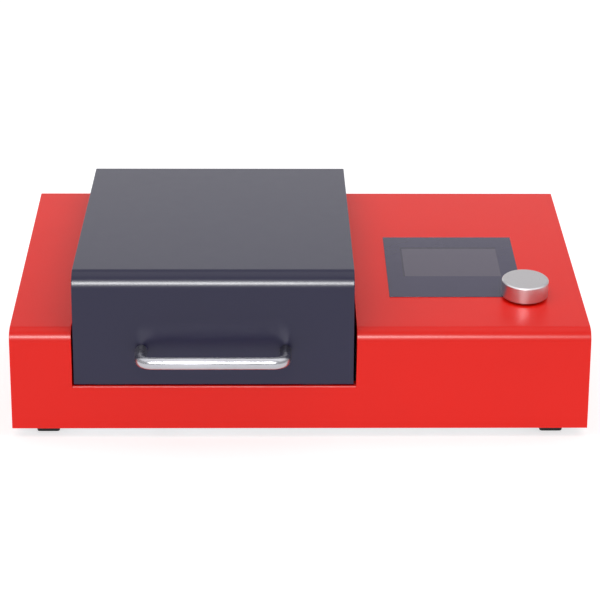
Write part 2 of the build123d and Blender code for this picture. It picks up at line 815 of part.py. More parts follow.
with BuildPart() as tray_nuts:
    with BuildSketch(hood_top.offset(-sheet - tray_wall)):
        with Locations(*stud_points):
            RegularPolygon(standoff_width / 2, 6, major_radius=False)
            Circle(small_hole, mode=Mode.SUBTRACT)
    extrude(amount=-2 * small_screw)
tray_nuts.part.label = "tray_nuts"
export_step(tray_nuts.part, "parts/tray_nuts.step")

# Interlock: a magnet behind the hood's front, and a reed switch on the tub's front beside it
interlock_x = hood_x + hood_width / 2 - hood_toe
interlock_z = hood_base_z + sheet + magnet_height / 2
with BuildPart() as hood_magnet:
    with BuildSketch(upright(front_y + sheet)):
        with Locations((interlock_x, interlock_z)):
            Rectangle(magnet_width, magnet_height)
    extrude(amount=-(hood_hem - 2 * sheet))
hood_magnet.part.label = "hood_magnet"
export_step(hood_magnet.part, "parts/hood_magnet.step")

with BuildPart() as reed_switch:
    with BuildSketch(upright(tub_front_y)):
        with Locations((interlock_x, interlock_z)):
            Rectangle(switch_width, switch_height)
    extrude(amount=tub_front_gap - hood_hem - hood_tail_gap)
reed_switch.part.label = "reed_switch"
export_step(reed_switch.part, "parts/reed_switch.step")

# Continuous hinge: two leaves whose sheet is rolled into knuckles that take turns along one pin
hinge_start = hood_x - hinge_length / 2
knuckle_pitch = hinge_length / hinge_knuckles


def hinge_part(side, first, bore):
    """One leaf of the hinge, below (-1) or above (1) the pin, with every second knuckle from first."""
    spots = [hinge_start + knuckle_pitch * i for i in range(first, hinge_knuckles, 2)]
    edge_z = hinge_z + side * hinge_leaf
    notch_z = hinge_z + side * (knuckle_radius + hinge_knuckle_gap)
    screw_z = hinge_z + side * leaf_screw_drop
    with BuildPart() as leaf:
        # The flat of the leaf, and the straps that run from it to the knuckles
        with BuildSketch(upright(back_y)):
            with Locations((hood_x, (edge_z + notch_z) / 2)):
                Rectangle(hinge_length, abs(edge_z - notch_z))
            for spot in spots:
                with Locations((spot + knuckle_pitch / 2, (edge_z + hinge_z) / 2)):
                    Rectangle(knuckle_pitch - hinge_knuckle_gap, hinge_leaf)
            with Locations(*[(x, screw_z) for x in hinge_screw_x]):
                Circle(small_hole, mode=Mode.SUBTRACT)
        extrude(amount=-hinge_sheet)
        # Each knuckle: the sheet rolled round the pin, with its end just short of the leaf
        for spot in spots:
            with BuildSketch(Plane.YZ.offset(spot + hinge_knuckle_gap / 2)):
                with Locations((hinge_y, hinge_z)):
                    Circle(knuckle_radius)
                    Circle(bore, mode=Mode.SUBTRACT)
                with Locations((back_y + hinge_sheet + hinge_knuckle_gap / 2, hinge_z + side * hinge_split)):
                    Rectangle(hinge_knuckle_gap, hinge_split, mode=Mode.SUBTRACT)
            extrude(amount=knuckle_pitch - hinge_knuckle_gap)
        with BuildSketch(Plane.YZ.offset(hinge_start)):
            with Locations((hinge_y, hinge_z)):
                Circle(bore)
        extrude(amount=hinge_length, mode=Mode.SUBTRACT)
    return leaf


hinge_fixed_leaf = hinge_part(-1, 0, hinge_pin_radius + fixed_gap)
hinge_fixed_leaf.part.label = "hinge_fixed_leaf"
export_step(hinge_fixed_leaf.part, "parts/hinge_fixed_leaf.step")

hinge_hood_leaf = hinge_part(1, 1, hinge_bore)
hinge_hood_leaf.part.label = "hinge_hood_leaf"
export_step(hinge_hood_leaf.part, "parts/hinge_hood_leaf.step")

with BuildPart() as hinge_pin:
    with BuildSketch(Plane.YZ.offset(hinge_start)):
        with Locations((hinge_y, hinge_z)):
            Circle(hinge_pin_radius)
    extrude(amount=hinge_length)
hinge_pin.part.label = "hinge_pin"
export_step(hinge_pin.part, "parts/hinge_pin.step")

leaf_face = facing_back(back_y + hinge_sheet)
hinge_fixed_screws = screws([(leaf_face, from_behind(fixed_leaf_points))], small_screw, 3 * sheet)
hinge_fixed_screws.part.label = "hinge_fixed_screws"
export_step(hinge_fixed_screws.part, "parts/hinge_fixed_screws.step")

hinge_hood_screws = screws([(leaf_face, from_behind(hood_leaf_points))], small_screw, 3 * sheet)
hinge_hood_screws.part.label = "hinge_hood_screws"
export_step(hinge_hood_screws.part, "parts/hinge_hood_screws.step")

# Display: a front overlay on the deck, and behind the window a module on the control board
with BuildPart() as display_overlay:
    with BuildSketch(deck):
        with Locations((overlay_x, overlay_start + overlay_length / 2)):
            Rectangle(overlay_width, overlay_length)
        with Locations((dial_x, dial_along)):
            Circle(2 * bushing_radius + panel_gap, mode=Mode.SUBTRACT)
    extrude(amount=overlay_thickness)
display_overlay.part.label = "display_overlay"
export_step(display_overlay.part, "parts/display_overlay.step")

screen_y = screen_start + screen_length / 2
with BuildPart() as display_module:
    with BuildSketch(deck.offset(-sheet)):
        with Locations((overlay_x, screen_y)):
            Rectangle(screen_width + 2 * display_margin, screen_length + 2 * display_margin)
    extrude(amount=-display_depth)
display_module.part.label = "display_module"
export_step(display_module.part, "parts/display_module.step")

control_top = deck.offset(-sheet - display_depth)
with BuildPart() as control_board:
    with BuildSketch(control_top):
        with Locations((overlay_x, control_board_y)):
            Rectangle(control_board_width, control_board_length)
        with Locations(*control_points):
            Circle(small_hole, mode=Mode.SUBTRACT)
    extrude(amount=-board)
    # Parts soldered under the board
    with BuildSketch(control_top.offset(-board)):
        with Locations((overlay_x, control_board_y)):
            with GridLocations(2 * chip_size, 2 * chip_size, 3, 2):
                Rectangle(chip_size, chip_size)
    extrude(amount=-chip_height)
    with BuildSketch(control_top.offset(-board)):
        with Locations((overlay_x, control_board_y + control_board_length / 2 - 2 * standoff_inset)):
            Rectangle(control_board_width / 2, standoff_inset)
    extrude(amount=-standoff_height)
control_board.part.label = "control_board"
export_step(control_board.part, "parts/control_board.step")

driver_z = floor_z + standoff_height
with BuildPart() as driver_board:
    with BuildSketch(Plane.XY.offset(driver_z)):
        with Locations((bay_x, driver_y)):
            Rectangle(driver_width, driver_length)
        with Locations(*driver_points):
            Circle(small_hole, mode=Mode.SUBTRACT)
    extrude(amount=board)
    # Coils in a row, with the smoothing capacitors beside them
    with BuildSketch(Plane.XY.offset(driver_z + board)):
        with Locations((bay_x, driver_y - driver_length / 5)):
            with GridLocations(driver_width / 4, 0, 3, 1):
                Rectangle(coil_size, coil_size)
    extrude(amount=coil_height)
    with BuildSketch(Plane.XY.offset(driver_z + board)):
        with Locations((bay_x, driver_y + driver_length / 4)):
            with GridLocations(driver_width / 5, 0, 4, 1):
                Circle(capacitor_radius)
    extrude(amount=capacitor_height)
driver_board.part.label = "driver_board"
export_step(driver_board.part, "parts/driver_board.step")

with BuildPart() as board_standoffs:
    with BuildSketch(deck.offset(-sheet)):
        with Locations(*control_points):
            RegularPolygon(standoff_width / 2, 6, major_radius=False)
            Circle(small_hole, mode=Mode.SUBTRACT)
    extrude(amount=-display_depth)
    with BuildSketch(Plane.XY.offset(floor_z)):
        with Locations(*driver_points):
            RegularPolygon(standoff_width / 2, 6, major_radius=False)
            Circle(small_hole, mode=Mode.SUBTRACT)
    extrude(amount=standoff_height)
board_standoffs.part.label = "board_standoffs"
export_step(board_standoffs.part, "parts/board_standoffs.step")

control_underside = control_top.offset(-board).rotated((180, 0, 0))
board_screws = screws(
    [
        (control_underside, [(x, -y) for x, y in control_points]),
        (Plane.XY.offset(driver_z + board), driver_points),
    ],
    small_screw,
    4 * sheet,
)
board_screws.part.label = "board_screws"
export_step(board_screws.part, "parts/board_screws.step")

# Turning dial: an encoder clamped through the deck. Its shaft turns, and also goes down a little
# against the plunger when the knob is pressed.
dial = Plane(deck * Location((dial_x, dial_along, 0)))
room_top = -sheet - encoder_wall
room_depth = encoder_depth - 2 * encoder_wall
shaft_top = dial_gap + dial_height - dial_roof
collar_bottom = room_top - 2 * plunger_height
with BuildPart() as encoder_body:
    with BuildSketch(dial.offset(-sheet)):
        Rectangle(encoder_size, encoder_size)
    extrude(amount=-encoder_depth)
    with BuildSketch(dial.offset(-sheet)):
        Circle(bushing_radius)
    extrude(amount=sheet + bushing_height)
    with BuildSketch(dial.offset(room_top)):
        Circle(plunger_radius + slide_gap)
    extrude(amount=-room_depth, mode=Mode.SUBTRACT)
    with BuildSketch(dial.offset(bushing_height)):
        Circle(shaft_radius + shaft_running_gap)
    extrude(amount=room_top - bushing_height, mode=Mode.SUBTRACT)
encoder_body.part.label = "encoder_body"
export_step(encoder_body.part, "parts/encoder_body.step")

with BuildPart() as encoder_nut:
    with BuildSketch(dial):
        RegularPolygon(1.5 * bushing_radius, 6, major_radius=False)
        Circle(bushing_radius, mode=Mode.SUBTRACT)
    extrude(amount=nut_height)
encoder_nut.part.label = "encoder_nut"
export_step(encoder_nut.part, "parts/encoder_nut.step")

with BuildPart() as encoder_plunger:
    with BuildSketch(dial.offset(collar_bottom)):
        Circle(plunger_radius)
    extrude(amount=-plunger_height)
encoder_plunger.part.label = "encoder_plunger"
export_step(encoder_plunger.part, "parts/encoder_plunger.step")

with BuildPart() as encoder_shaft:
    with BuildSketch(dial.offset(collar_bottom)):
        Circle(shaft_radius)
    extrude(amount=shaft_top - collar_bottom)
    with BuildSketch(dial.offset(collar_bottom)):
        Circle(collar_radius)
    extrude(amount=plunger_height)
    with BuildSketch(dial.offset(bushing_height + 2 * dial_gap)):
        with Locations((0, shaft_flat + shaft_radius)):
            Rectangle(2 * shaft_radius, 2 * shaft_radius)
    extrude(amount=shaft_top, mode=Mode.SUBTRACT)
encoder_shaft.part.label = "encoder_shaft"
export_step(encoder_shaft.part, "parts/encoder_shaft.step")

set_screw_level = bushing_height + 2 * dial_gap + 2 * small_screw
with BuildPart() as dial_knob:
    with BuildSketch(dial.offset(dial_gap)):
        Circle(dial_radius)
    extrude(amount=dial_height)
    chamfer(dial_knob.edges().filter_by(GeomType.CIRCLE), dial_chamfer)
    # Recess that clears the nut and the bushing, then the bore with its flat
    with BuildSketch(dial.offset(dial_gap)):
        Circle(2 * bushing_radius)
    extrude(amount=bushing_height + dial_gap, mode=Mode.SUBTRACT)
    with BuildSketch(dial):
        Circle(shaft_radius + fixed_gap)
        with Locations((0, shaft_flat + fixed_gap + shaft_radius)):
            Rectangle(3 * shaft_radius, 2 * shaft_radius, mode=Mode.SUBTRACT)
    extrude(amount=shaft_top, mode=Mode.SUBTRACT)
    with BuildSketch(Plane(dial * Location((0, 0, set_screw_level))).rotated((-90, 0, 0))):
        Circle(small_hole)
    extrude(amount=dial_radius + cut_over, mode=Mode.SUBTRACT)
dial_knob.part.label = "dial_knob"
export_step(dial_knob.part, "parts/dial_knob.step")

with BuildPart() as knob_set_screw:
    with BuildSketch(Plane(dial * Location((0, shaft_flat, set_screw_level))).rotated((-90, 0, 0))):
        Circle(small_screw)
    extrude(amount=dial_radius / 2)
knob_set_screw.part.label = "knob_set_screw"
export_step(knob_set_screw.part, "parts/knob_set_screw.step")

# Fan in the rear panel: a square frame, a bladed rotor on its stud and a wire guard outside
fan_front = upright(fan_front_y)
with BuildPart() as fan_frame:
    with BuildSketch(fan_front):
        with Locations((fan_x, fan_z)):
            RectangleRounded(fan_size, fan_size, fan_corner)
            Circle(fan_radius, mode=Mode.SUBTRACT)
        with Locations(*fan_screw_points):
            Circle(large_hole, mode=Mode.SUBTRACT)
    extrude(amount=-fan_depth)
    # Motor carrier on four struts, with the stud that the rotor turns on
    with BuildSketch(fan_front):
        with Locations((fan_x, fan_z)):
            Circle(hub_radius)
            Rectangle(fan_size, fan_carrier, rotation=45)
            Rectangle(fan_size, fan_carrier, rotation=-45)
    extrude(amount=-fan_carrier)
    with BuildSketch(fan_front):
        with Locations((fan_x, fan_z)):
            Circle(large_screw)
    extrude(amount=-fan_depth / 2)
fan_frame.part.label = "fan_frame"
export_step(fan_frame.part, "parts/fan_frame.step")

hub_start = fan_carrier + panel_gap
hub_depth = fan_depth - hub_start - large_screw
with BuildPart() as fan_rotor:
    with BuildSketch(upright(fan_front_y + hub_start)):
        with Locations((fan_x, fan_z)):
            Circle(hub_radius)
    extrude(amount=-hub_depth)
    for i in range(blade_count):
        turn = radians(360 / blade_count * i)
        middle = (fan_x, fan_front_y + hub_start + hub_depth / 2, fan_z)
        blade_plane = Plane(origin=middle, x_dir=(0, 1, 0), z_dir=(cos(turn), 0, sin(turn)))
        with BuildSketch(blade_plane.offset(hub_radius - blade_root)):
            Rectangle(blade_chord, blade_thickness, rotation=blade_pitch)
        extrude(amount=fan_radius - blade_tip_gap - hub_radius)
    with BuildSketch(upright(fan_front_y)):
        with Locations((fan_x, fan_z)):
            Circle(large_screw + running_gap)
    extrude(amount=-fan_depth / 2 - panel_gap, mode=Mode.SUBTRACT)
fan_rotor.part.label = "fan_rotor"
export_step(fan_rotor.part, "parts/fan_rotor.step")

# The guard's rings of square wire are welded on spokes that step down to an eye under each fan screw
eye_reach = fan_pitch / 2 * sqrt(2)
spoke_foot = guard_eye_height / 2
ring_step = (fan_radius - guard_wire) / guard_rings
ring_y = back_y + guard_reach - guard_wire
spoke_reach = guard_reach - 2 * guard_wire - guard_spoke + guard_weld
with BuildPart() as fan_guard:
    for i in range(guard_rings):
        with BuildSketch(Plane(origin=(fan_x, ring_y, fan_z), x_dir=(1, 0, 0), z_dir=(0, 0, 1))):
            with Locations((ring_step * (i + 1), 0)):
                Rectangle(2 * guard_wire, 2 * guard_wire)
        revolve(axis=Axis((fan_x, ring_y, fan_z), (0, 1, 0)))
    for turn in (45, 135, 225, 315):
        out = (cos(radians(turn)), 0, sin(radians(turn)))
        with BuildLine(Plane(origin=(fan_x, back_y, fan_z), x_dir=out, z_dir=(-out[2], 0, out[0]))):
            spoke = FilletPolyline(
                (ring_step / 2, spoke_reach),
                (fan_radius + guard_wire, spoke_reach),
                (eye_reach - guard_eye - 2 * guard_spoke, spoke_foot),
                (eye_reach - guard_eye + guard_spoke, spoke_foot),
                radius=2 * guard_wire,
            )
        with BuildSketch(Plane(origin=spoke @ 0, x_dir=(0, 1, 0), z_dir=spoke % 0)):
            Rectangle(2 * guard_spoke, 2 * guard_spoke)
        sweep()
    with BuildSketch(upright(back_y)):
        with Locations(*fan_screw_points):
            Circle(guard_eye)
            Circle(large_hole, mode=Mode.SUBTRACT)
    extrude(amount=-guard_eye_height)
fan_guard.part.label = "fan_guard"
export_step(fan_guard.part, "parts/fan_guard.step")

fan_screws = screws([(facing_back(back_y + guard_eye_height), from_behind(fan_screw_points))], large_screw,
                    fan_depth / 2)
fan_screws.part.label = "fan_screws"
export_step(fan_screws.part, "parts/fan_screws.step")

# Power inlet: socket at the bottom, fuse drawer in the middle and rocker switch at the top
socket_z = inlet_z - socket_drop
drawer_z = inlet_z + drawer_rise
rocker_z = inlet_z + rocker_rise
inlet_face = upright(inlet_face_y)
rocker_y = inlet_face_y - rocker_pivot_depth
contact_points = [(inlet_x + i * contact_pitch, socket_z - contact_offset) for i in (-1, 1)]
contact_points += [(inlet_x, socket_z + contact_offset)]
with BuildPart() as inlet_body:
    with BuildSketch(inlet_face):
        with Locations((inlet_x, inlet_z)):
            RectangleRounded(inlet_width + 2 * inlet_flange_margin, inlet_height + 2 * inlet_flange_margin,
                             inlet_flange_corner)
        with Locations((inlet_x, socket_z)):
            RectangleRounded(inlet_ear_pitch + 2 * inlet_ear_corner, inlet_ear_height, inlet_ear_corner)
        with Locations(*inlet_screw_points):
            Circle(small_hole, mode=Mode.SUBTRACT)
    extrude(amount=inlet_flange)
    with BuildSketch(inlet_face):
        with Locations((inlet_x, inlet_z)):
            Rectangle(inlet_width, inlet_height)
    extrude(amount=inlet_flange + inlet_body_depth)
    with BuildSketch(inlet_face):
        with Locations((inlet_x, socket_z)):
            Rectangle(socket_width, socket_height)
        lower_points = vertices().group_by(Axis.Y)[0]
        chamfer(lower_points, socket_corner)
    extrude(amount=socket_depth, mode=Mode.SUBTRACT)
    with BuildSketch(inlet_face):
        with Locations((inlet_x, drawer_z)):
            Rectangle(drawer_width + 2 * slide_gap, drawer_height + 2 * slide_gap)
    extrude(amount=drawer_depth + slide_gap, mode=Mode.SUBTRACT)
    with BuildSketch(inlet_face):
        with Locations((inlet_x, rocker_z)):
            Rectangle(2 * (rocker_radius + slide_gap), rocker_length + 2 * slide_gap)
    extrude(amount=rocker_pivot_depth + rocker_radius + slide_gap, mode=Mode.SUBTRACT)
    with BuildSketch(Plane.XY.offset(rocker_z - rocker_length / 2 - pivot_room)):
        with Locations((inlet_x, rocker_y)):
            Circle(small_screw)
    extrude(amount=rocker_length + 2 * pivot_room, mode=Mode.SUBTRACT)
    with BuildSketch(inlet_face):
        with Locations(*contact_points):
            Rectangle(contact_width, contact_height)
    extrude(amount=inlet_flange + inlet_body_depth + cut_over, mode=Mode.SUBTRACT)
inlet_body.part.label = "inlet_body"
export_step(inlet_body.part, "parts/inlet_body.step")

with BuildPart() as inlet_contacts:
    with BuildSketch(upright(inlet_face_y - contact_recess)):
        with Locations(*contact_points):
            Rectangle(contact_width, contact_height)
    extrude(amount=inlet_flange + inlet_body_depth)
inlet_contacts.part.label = "inlet_contacts"
export_step(inlet_contacts.part, "parts/inlet_contacts.step")

inlet_screws = screws([(facing_back(inlet_face_y), from_behind(inlet_screw_points))], small_screw,
                      inlet_flange + 3 * sheet)
inlet_screws.part.label = "inlet_screws"
export_step(inlet_screws.part, "parts/inlet_screws.step")

# Rocker: a disc segment on two pivot stubs, its face dished in a shallow V and tipped to off
with BuildPart() as power_rocker:
    rocker_middle = (inlet_x, rocker_y, rocker_z - rocker_length / 2)
    lean = radians(rocker_angle)
    rocker_plane = Plane(origin=rocker_middle, x_dir=(cos(lean), sin(lean), 0), z_dir=(0, 0, 1))
    with BuildSketch(rocker_plane):
        Circle(rocker_radius)
        with BuildLine():
            Polyline(
                (0, rocker_dip),
                (rocker_radius, rocker_tip + panel_gap),
                (rocker_radius, 2 * rocker_radius),
                (-rocker_radius, 2 * rocker_radius),
                (-rocker_radius, rocker_tip + panel_gap),
                close=True,
            )
        make_face(mode=Mode.SUBTRACT)
    extrude(amount=rocker_length)
    with BuildSketch(rocker_plane.offset(-pivot_reach)):
        Circle(small_screw - running_gap)
    extrude(amount=rocker_length + 2 * pivot_reach)
power_rocker.part.label = "power_rocker"
export_step(power_rocker.part, "parts/power_rocker.step")

with BuildPart() as fuse_drawer:
    with BuildSketch(inlet_face):
        with Locations((inlet_x, drawer_z)):
            Rectangle(drawer_width, drawer_height)
    extrude(amount=drawer_depth)
    with BuildSketch(inlet_face):
        with Locations((inlet_x, drawer_z)):
            Rectangle(drawer_width, drawer_height)
    extrude(amount=-drawer_proud)
    with BuildSketch(upright(inlet_face_y - drawer_wall)):
        with Locations((inlet_x, drawer_z + drawer_floor)):
            Rectangle(fuse_length + 2 * slide_gap, drawer_height)
    extrude(amount=drawer_depth - 2 * drawer_wall, mode=Mode.SUBTRACT)
fuse_drawer.part.label = "fuse_drawer"
export_step(fuse_drawer.part, "parts/fuse_drawer.step")

with BuildPart() as fuse:
    fuse_z = drawer_z + drawer_floor - drawer_height / 2 + fuse_radius
    with BuildSketch(Plane.YZ.offset(inlet_x - fuse_length / 2)):
        with Locations((inlet_face_y - drawer_depth / 2, fuse_z)):
            Circle(fuse_radius)
    extrude(amount=fuse_length)
fuse.part.label = "fuse"
export_step(fuse.part, "parts/fuse.step")

# Power supply: a closed case whose end is stepped down for the terminals
with BuildPart() as power_supply:
    with BuildSketch(Plane.XY.offset(floor_z)):
        with Locations((bay_x, supply_y)):
            Rectangle(supply_width, supply_length)
    extrude(amount=supply_height)
    with BuildSketch(Plane.XY.offset(floor_z + supply_height)):
        with Locations((bay_x, supply_y + supply_length / 2)):
            Rectangle(supply_width - 2 * sheet, 2 * terminal_depth)
    extrude(amount=-supply_height / 2, mode=Mode.SUBTRACT)
    with BuildSketch(Plane.XY.offset(floor_z + supply_height)):
        with Locations((bay_x, supply_y - terminal_depth)):
            with GridLocations(vent_step, supply_slot + 2 * vent_width, 6, 2):
                Rectangle(vent_width, supply_slot)
    extrude(amount=-sheet, mode=Mode.SUBTRACT)
power_supply.part.label = "power_supply"
export_step(power_supply.part, "parts/power_supply.step")

with BuildPart() as supply_terminals:
    with BuildSketch(Plane.XY.offset(floor_z + supply_height / 2)):
        with Locations((bay_x, supply_y + (supply_length - terminal_depth) / 2)):
            Rectangle(supply_width * 0.8, terminal_depth - terminal_gap)
    extrude(amount=terminal_depth - terminal_gap)
    with BuildSketch(Plane.XY.offset(floor_z + supply_height / 2 + terminal_depth / 3)):
        with Locations((bay_x, supply_y + (supply_length - terminal_depth) / 2 + terminal_gap)):
            with GridLocations(supply_width * 0.1, 0, 7, 1):
                Rectangle(supply_width * 0.08, terminal_depth - terminal_gap)
    extrude(amount=terminal_depth, mode=Mode.SUBTRACT)
supply_terminals.part.label = "supply_terminals"
export_step(supply_terminals.part, "parts/supply_terminals.step")
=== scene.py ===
import json
import math

import bmesh
import bpy
from bpy.props import FloatProperty, FloatVectorProperty, IntProperty, PointerProperty
from bpy.types import Operator, Panel, PropertyGroup
from mathutils import Matrix, Vector

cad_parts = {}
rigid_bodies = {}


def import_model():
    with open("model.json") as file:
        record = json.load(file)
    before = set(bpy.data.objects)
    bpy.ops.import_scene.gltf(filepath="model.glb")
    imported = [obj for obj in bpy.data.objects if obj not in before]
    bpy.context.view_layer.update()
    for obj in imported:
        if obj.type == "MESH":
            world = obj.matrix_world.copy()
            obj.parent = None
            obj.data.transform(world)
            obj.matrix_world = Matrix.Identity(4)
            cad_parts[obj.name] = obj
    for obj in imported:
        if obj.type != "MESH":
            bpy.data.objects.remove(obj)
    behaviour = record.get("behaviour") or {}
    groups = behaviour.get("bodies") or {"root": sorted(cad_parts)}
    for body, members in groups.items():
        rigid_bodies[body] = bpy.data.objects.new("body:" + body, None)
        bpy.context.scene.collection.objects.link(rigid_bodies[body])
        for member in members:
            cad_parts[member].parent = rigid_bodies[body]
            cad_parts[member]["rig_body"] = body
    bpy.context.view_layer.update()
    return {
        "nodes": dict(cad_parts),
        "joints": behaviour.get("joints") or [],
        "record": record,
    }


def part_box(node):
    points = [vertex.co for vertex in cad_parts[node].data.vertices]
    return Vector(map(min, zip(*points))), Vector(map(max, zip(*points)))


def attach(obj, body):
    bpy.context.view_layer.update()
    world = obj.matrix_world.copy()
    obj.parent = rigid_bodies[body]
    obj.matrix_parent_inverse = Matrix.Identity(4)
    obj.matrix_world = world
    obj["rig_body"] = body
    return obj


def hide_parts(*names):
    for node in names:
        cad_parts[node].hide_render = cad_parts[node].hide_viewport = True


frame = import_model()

bl_info = {
    "name": "Post-Curing Unit",
    "version": (1, 0, 0),
    "blender": (4, 5, 0),
    "location": "3D View > Sidebar > Curing Unit",
    "description": "Finishes, fine parts and a plain studio for a bench post-curing unit",
    "category": "Object",
}

# Slopes of the deck and of the hood's top, and directions
deck_tilt = math.radians(8.2)
deck_up = Vector((0, -math.sin(deck_tilt), math.cos(deck_tilt)))
hood_tilt = math.radians(3.35)
hood_up = Vector((0, -math.sin(hood_tilt), math.cos(hood_tilt)))
backwards = Vector((0, 1, 0))

# Measures that pieces share
full_turn = 2 * math.pi
same_point = 0.000003  # Points of the frame's triangles this close are one
same_level = 0.00001  # Points of a solid this close in height lie on one face
flat_angle = math.radians(0.4)  # Triangles that meet at less than this are one flat
thin_edge = 0.0001  # Edge radius of thin sheets, boards and shafts
moulded_edge = 0.0003  # Edge radius of the larger mouldings


def middle(name):
    """The middle of a CAD node's box."""
    low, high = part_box(name)
    return (low + high) / 2


def pivot(joint):
    """The point that a joint turns about."""
    return Vector(next(row["pos_m"] for row in frame["joints"] if row["name"] == joint))


# Nodes of materials and of geometry trees


def fill(tree, node, inputs):
    """Sets a node's inputs to values, or links other nodes' outputs to them."""
    for label, value in inputs.items():
        socket = node.inputs[label]
        for one in value if isinstance(value, list) else [value]:
            if isinstance(one, bpy.types.NodeSocket):
                tree.links.new(one, socket)
            else:
                socket.default_value = one


def add(tree, kind, inputs=None, **settings):
    """A new node of a tree, with its settings and its inputs."""
    made = tree.nodes.new(kind)
    for label, value in settings.items():
        setattr(made, label, value)
    fill(tree, made, inputs or {})
    return made


def maths(tree, first, second=0.0, operation="MULTIPLY"):
    """A calculation on one or two numbers."""
    return add(tree, "ShaderNodeMath", {0: first, 1: second}, operation=operation).outputs[0]


def blank(name):
    """A material with only its shader, and the object's own coordinates. One that came with the
    frame is taken over."""
    material = bpy.data.materials.get(name) or bpy.data.materials.new(name)
    material.use_nodes = True
    tree = material.node_tree
    tree.nodes.clear()
    place = add(tree, "ShaderNodeTexCoord").outputs["Object"]
    shader = add(tree, "ShaderNodeBsdfPrincipled")
    add(tree, "ShaderNodeOutputMaterial", {"Surface": shader.outputs["BSDF"]})
    return tree, place, shader


def noise(tree, place, size, detail, stretch=None):
    """Noise whose grains are about the size in metres, drawn out along the axes by stretch."""
    if stretch:
        place = add(tree, "ShaderNodeMapping", {"Vector": place, "Scale": stretch}).outputs[0]
    return add(tree, "ShaderNodeTexNoise", {
        "Vector": place, "Scale": 1 / size, "Detail": detail}).outputs["Fac"]


def between(tree, factor, low, high, start=0.3, end=0.7):
    """A number that goes from low to high as the factor goes from start to end."""
    return add(tree, "ShaderNodeMapRange", {
        "Value": factor, "From Min": start, "From Max": end,
        "To Min": low, "To Max": high}).outputs["Result"]


def mixed(tree, factor, first, second):
    """A colour between two others."""
    return add(tree, "ShaderNodeMix", {0: factor, 6: first, 7: second}, data_type="RGBA").outputs[2]


def shade(colour, share):
    """The colour, lighter or darker by a share."""
    return tuple(min(c * share, 1.0) for c in colour[:3]) + (1.0,)


def toned(tree, factor, colour, dark, light):
    """The colour, drifting with a noise between a dark and a light share of itself."""
    return mixed(tree, between(tree, factor, 0, 1), shade(colour, dark), shade(colour, light))


def tilted(tree, place, centre, tilt):
    """The X, Y and Z of a place on a piece that leans back by the tilt, from the piece's centre."""
    level = add(tree, "ShaderNodeMapping", {
        "Vector": place, "Location": centre, "Rotation": (tilt, 0, 0)}, vector_type="TEXTURE")
    return add(tree, "ShaderNodeSeparateXYZ", {"Vector": level.outputs["Vector"]}).outputs


def raise_bump(tree, shader, height, depth):
    """Gives the shader a bump of the given depth in metres."""
    bump = add(tree, "ShaderNodeBump", {"Height": height, "Distance": depth, "Strength": 1.0})
    tree.links.new(bump.outputs["Normal"], shader.inputs["Normal"])


def powder_coat(name, colour, roughness, peel, shine):
    """Satin powder coat: an orange peel, and a faint drift of tone and gloss."""
    tree, place, shader = blank(name)
    tone_size, gloss_size, wave_size, grain_size = 0.09, 0.012, 0.0016, 0.0003
    spread = 0.008
    waves = noise(tree, place, wave_size, 1)
    grain = noise(tree, place, grain_size, 2)
    skin = add(tree, "ShaderNodeMath", {0: waves, 1: grain, 2: grain}, operation="MULTIPLY_ADD")
    fill(tree, shader, {
        "Base Color": toned(tree, noise(tree, place, tone_size, 3), colour, 0.985, 1.015),
        "Roughness": between(tree, noise(tree, place, gloss_size, 4), roughness - spread,
                             roughness + spread),
        "Specular IOR Level": shine})
    raise_bump(tree, shader, skin.outputs[0], peel)


def metal(name, colour, roughness, grain, stretch, depth, spread=0.08):
    """Bare metal with a grain that runs along the axis that stretch keeps long."""
    tree, place, shader = blank(name)
    blotch_size = 0.03
    lines = noise(tree, place, grain, 3, stretch)
    blotch = noise(tree, place, blotch_size, 4)
    fill(tree, shader, {
        "Metallic": 1.0,
        "Base Color": toned(tree, blotch, colour, 0.94, 1.04),
        "Roughness": between(tree, maths(tree, lines, blotch, "ADD"), roughness - spread,
                             roughness + spread, 0.7, 1.3)})
    raise_bump(tree, shader, lines, depth)


def zinc_sheet(name, colour):
    """Galvanised sheet: a mosaic of spangles that differ in tone and gloss."""
    tree, place, shader = blank(name)
    spangles_per_metre, wave_size, wave_depth = 140.0, 0.002, 0.00002
    spangle = add(tree, "ShaderNodeTexVoronoi", {
        "Vector": place, "Scale": spangles_per_metre, "Randomness": 1.0})
    grey = add(tree, "ShaderNodeSeparateColor", {"Color": spangle.outputs["Color"]}).outputs[0]
    fill(tree, shader, {
        "Metallic": 1.0,
        "Base Color": mixed(tree, grey, shade(colour, 0.82), shade(colour, 1.1)),
        "Roughness": between(tree, grey, 0.3, 0.52, 0, 1)})
    raise_bump(tree, shader, noise(tree, place, wave_size, 3), wave_depth)


def moulded(name, colour, roughness, grain, depth, coat=0.0):
    """Moulded plastic or rubber with a fine spark-eroded grain."""
    tree, place, shader = blank(name)
    tone_size = 0.02
    texture = noise(tree, place, grain, 2)
    fill(tree, shader, {
        "Base Color": toned(tree, noise(tree, place, tone_size, 3), colour, 0.97, 1.03),
        "Roughness": between(tree, texture, roughness - 0.05, roughness + 0.08),
        "Coat Weight": coat})
    raise_bump(tree, shader, texture, depth)


def clear_glass(name, tint):
    """Clear glass with a trace of wiping marks."""
    tree, place, shader = blank(name)
    mark_size = 0.03
    marks = noise(tree, place, mark_size, 5, (1, 3, 1))
    fill(tree, shader, {
        "Base Color": mixed(tree, marks, shade(tint, 0.995), tint),
        "Roughness": between(tree, marks, 0.0, 0.02, 0.5, 0.9),
        "Transmission Weight": 1.0,
        "IOR": 1.5})


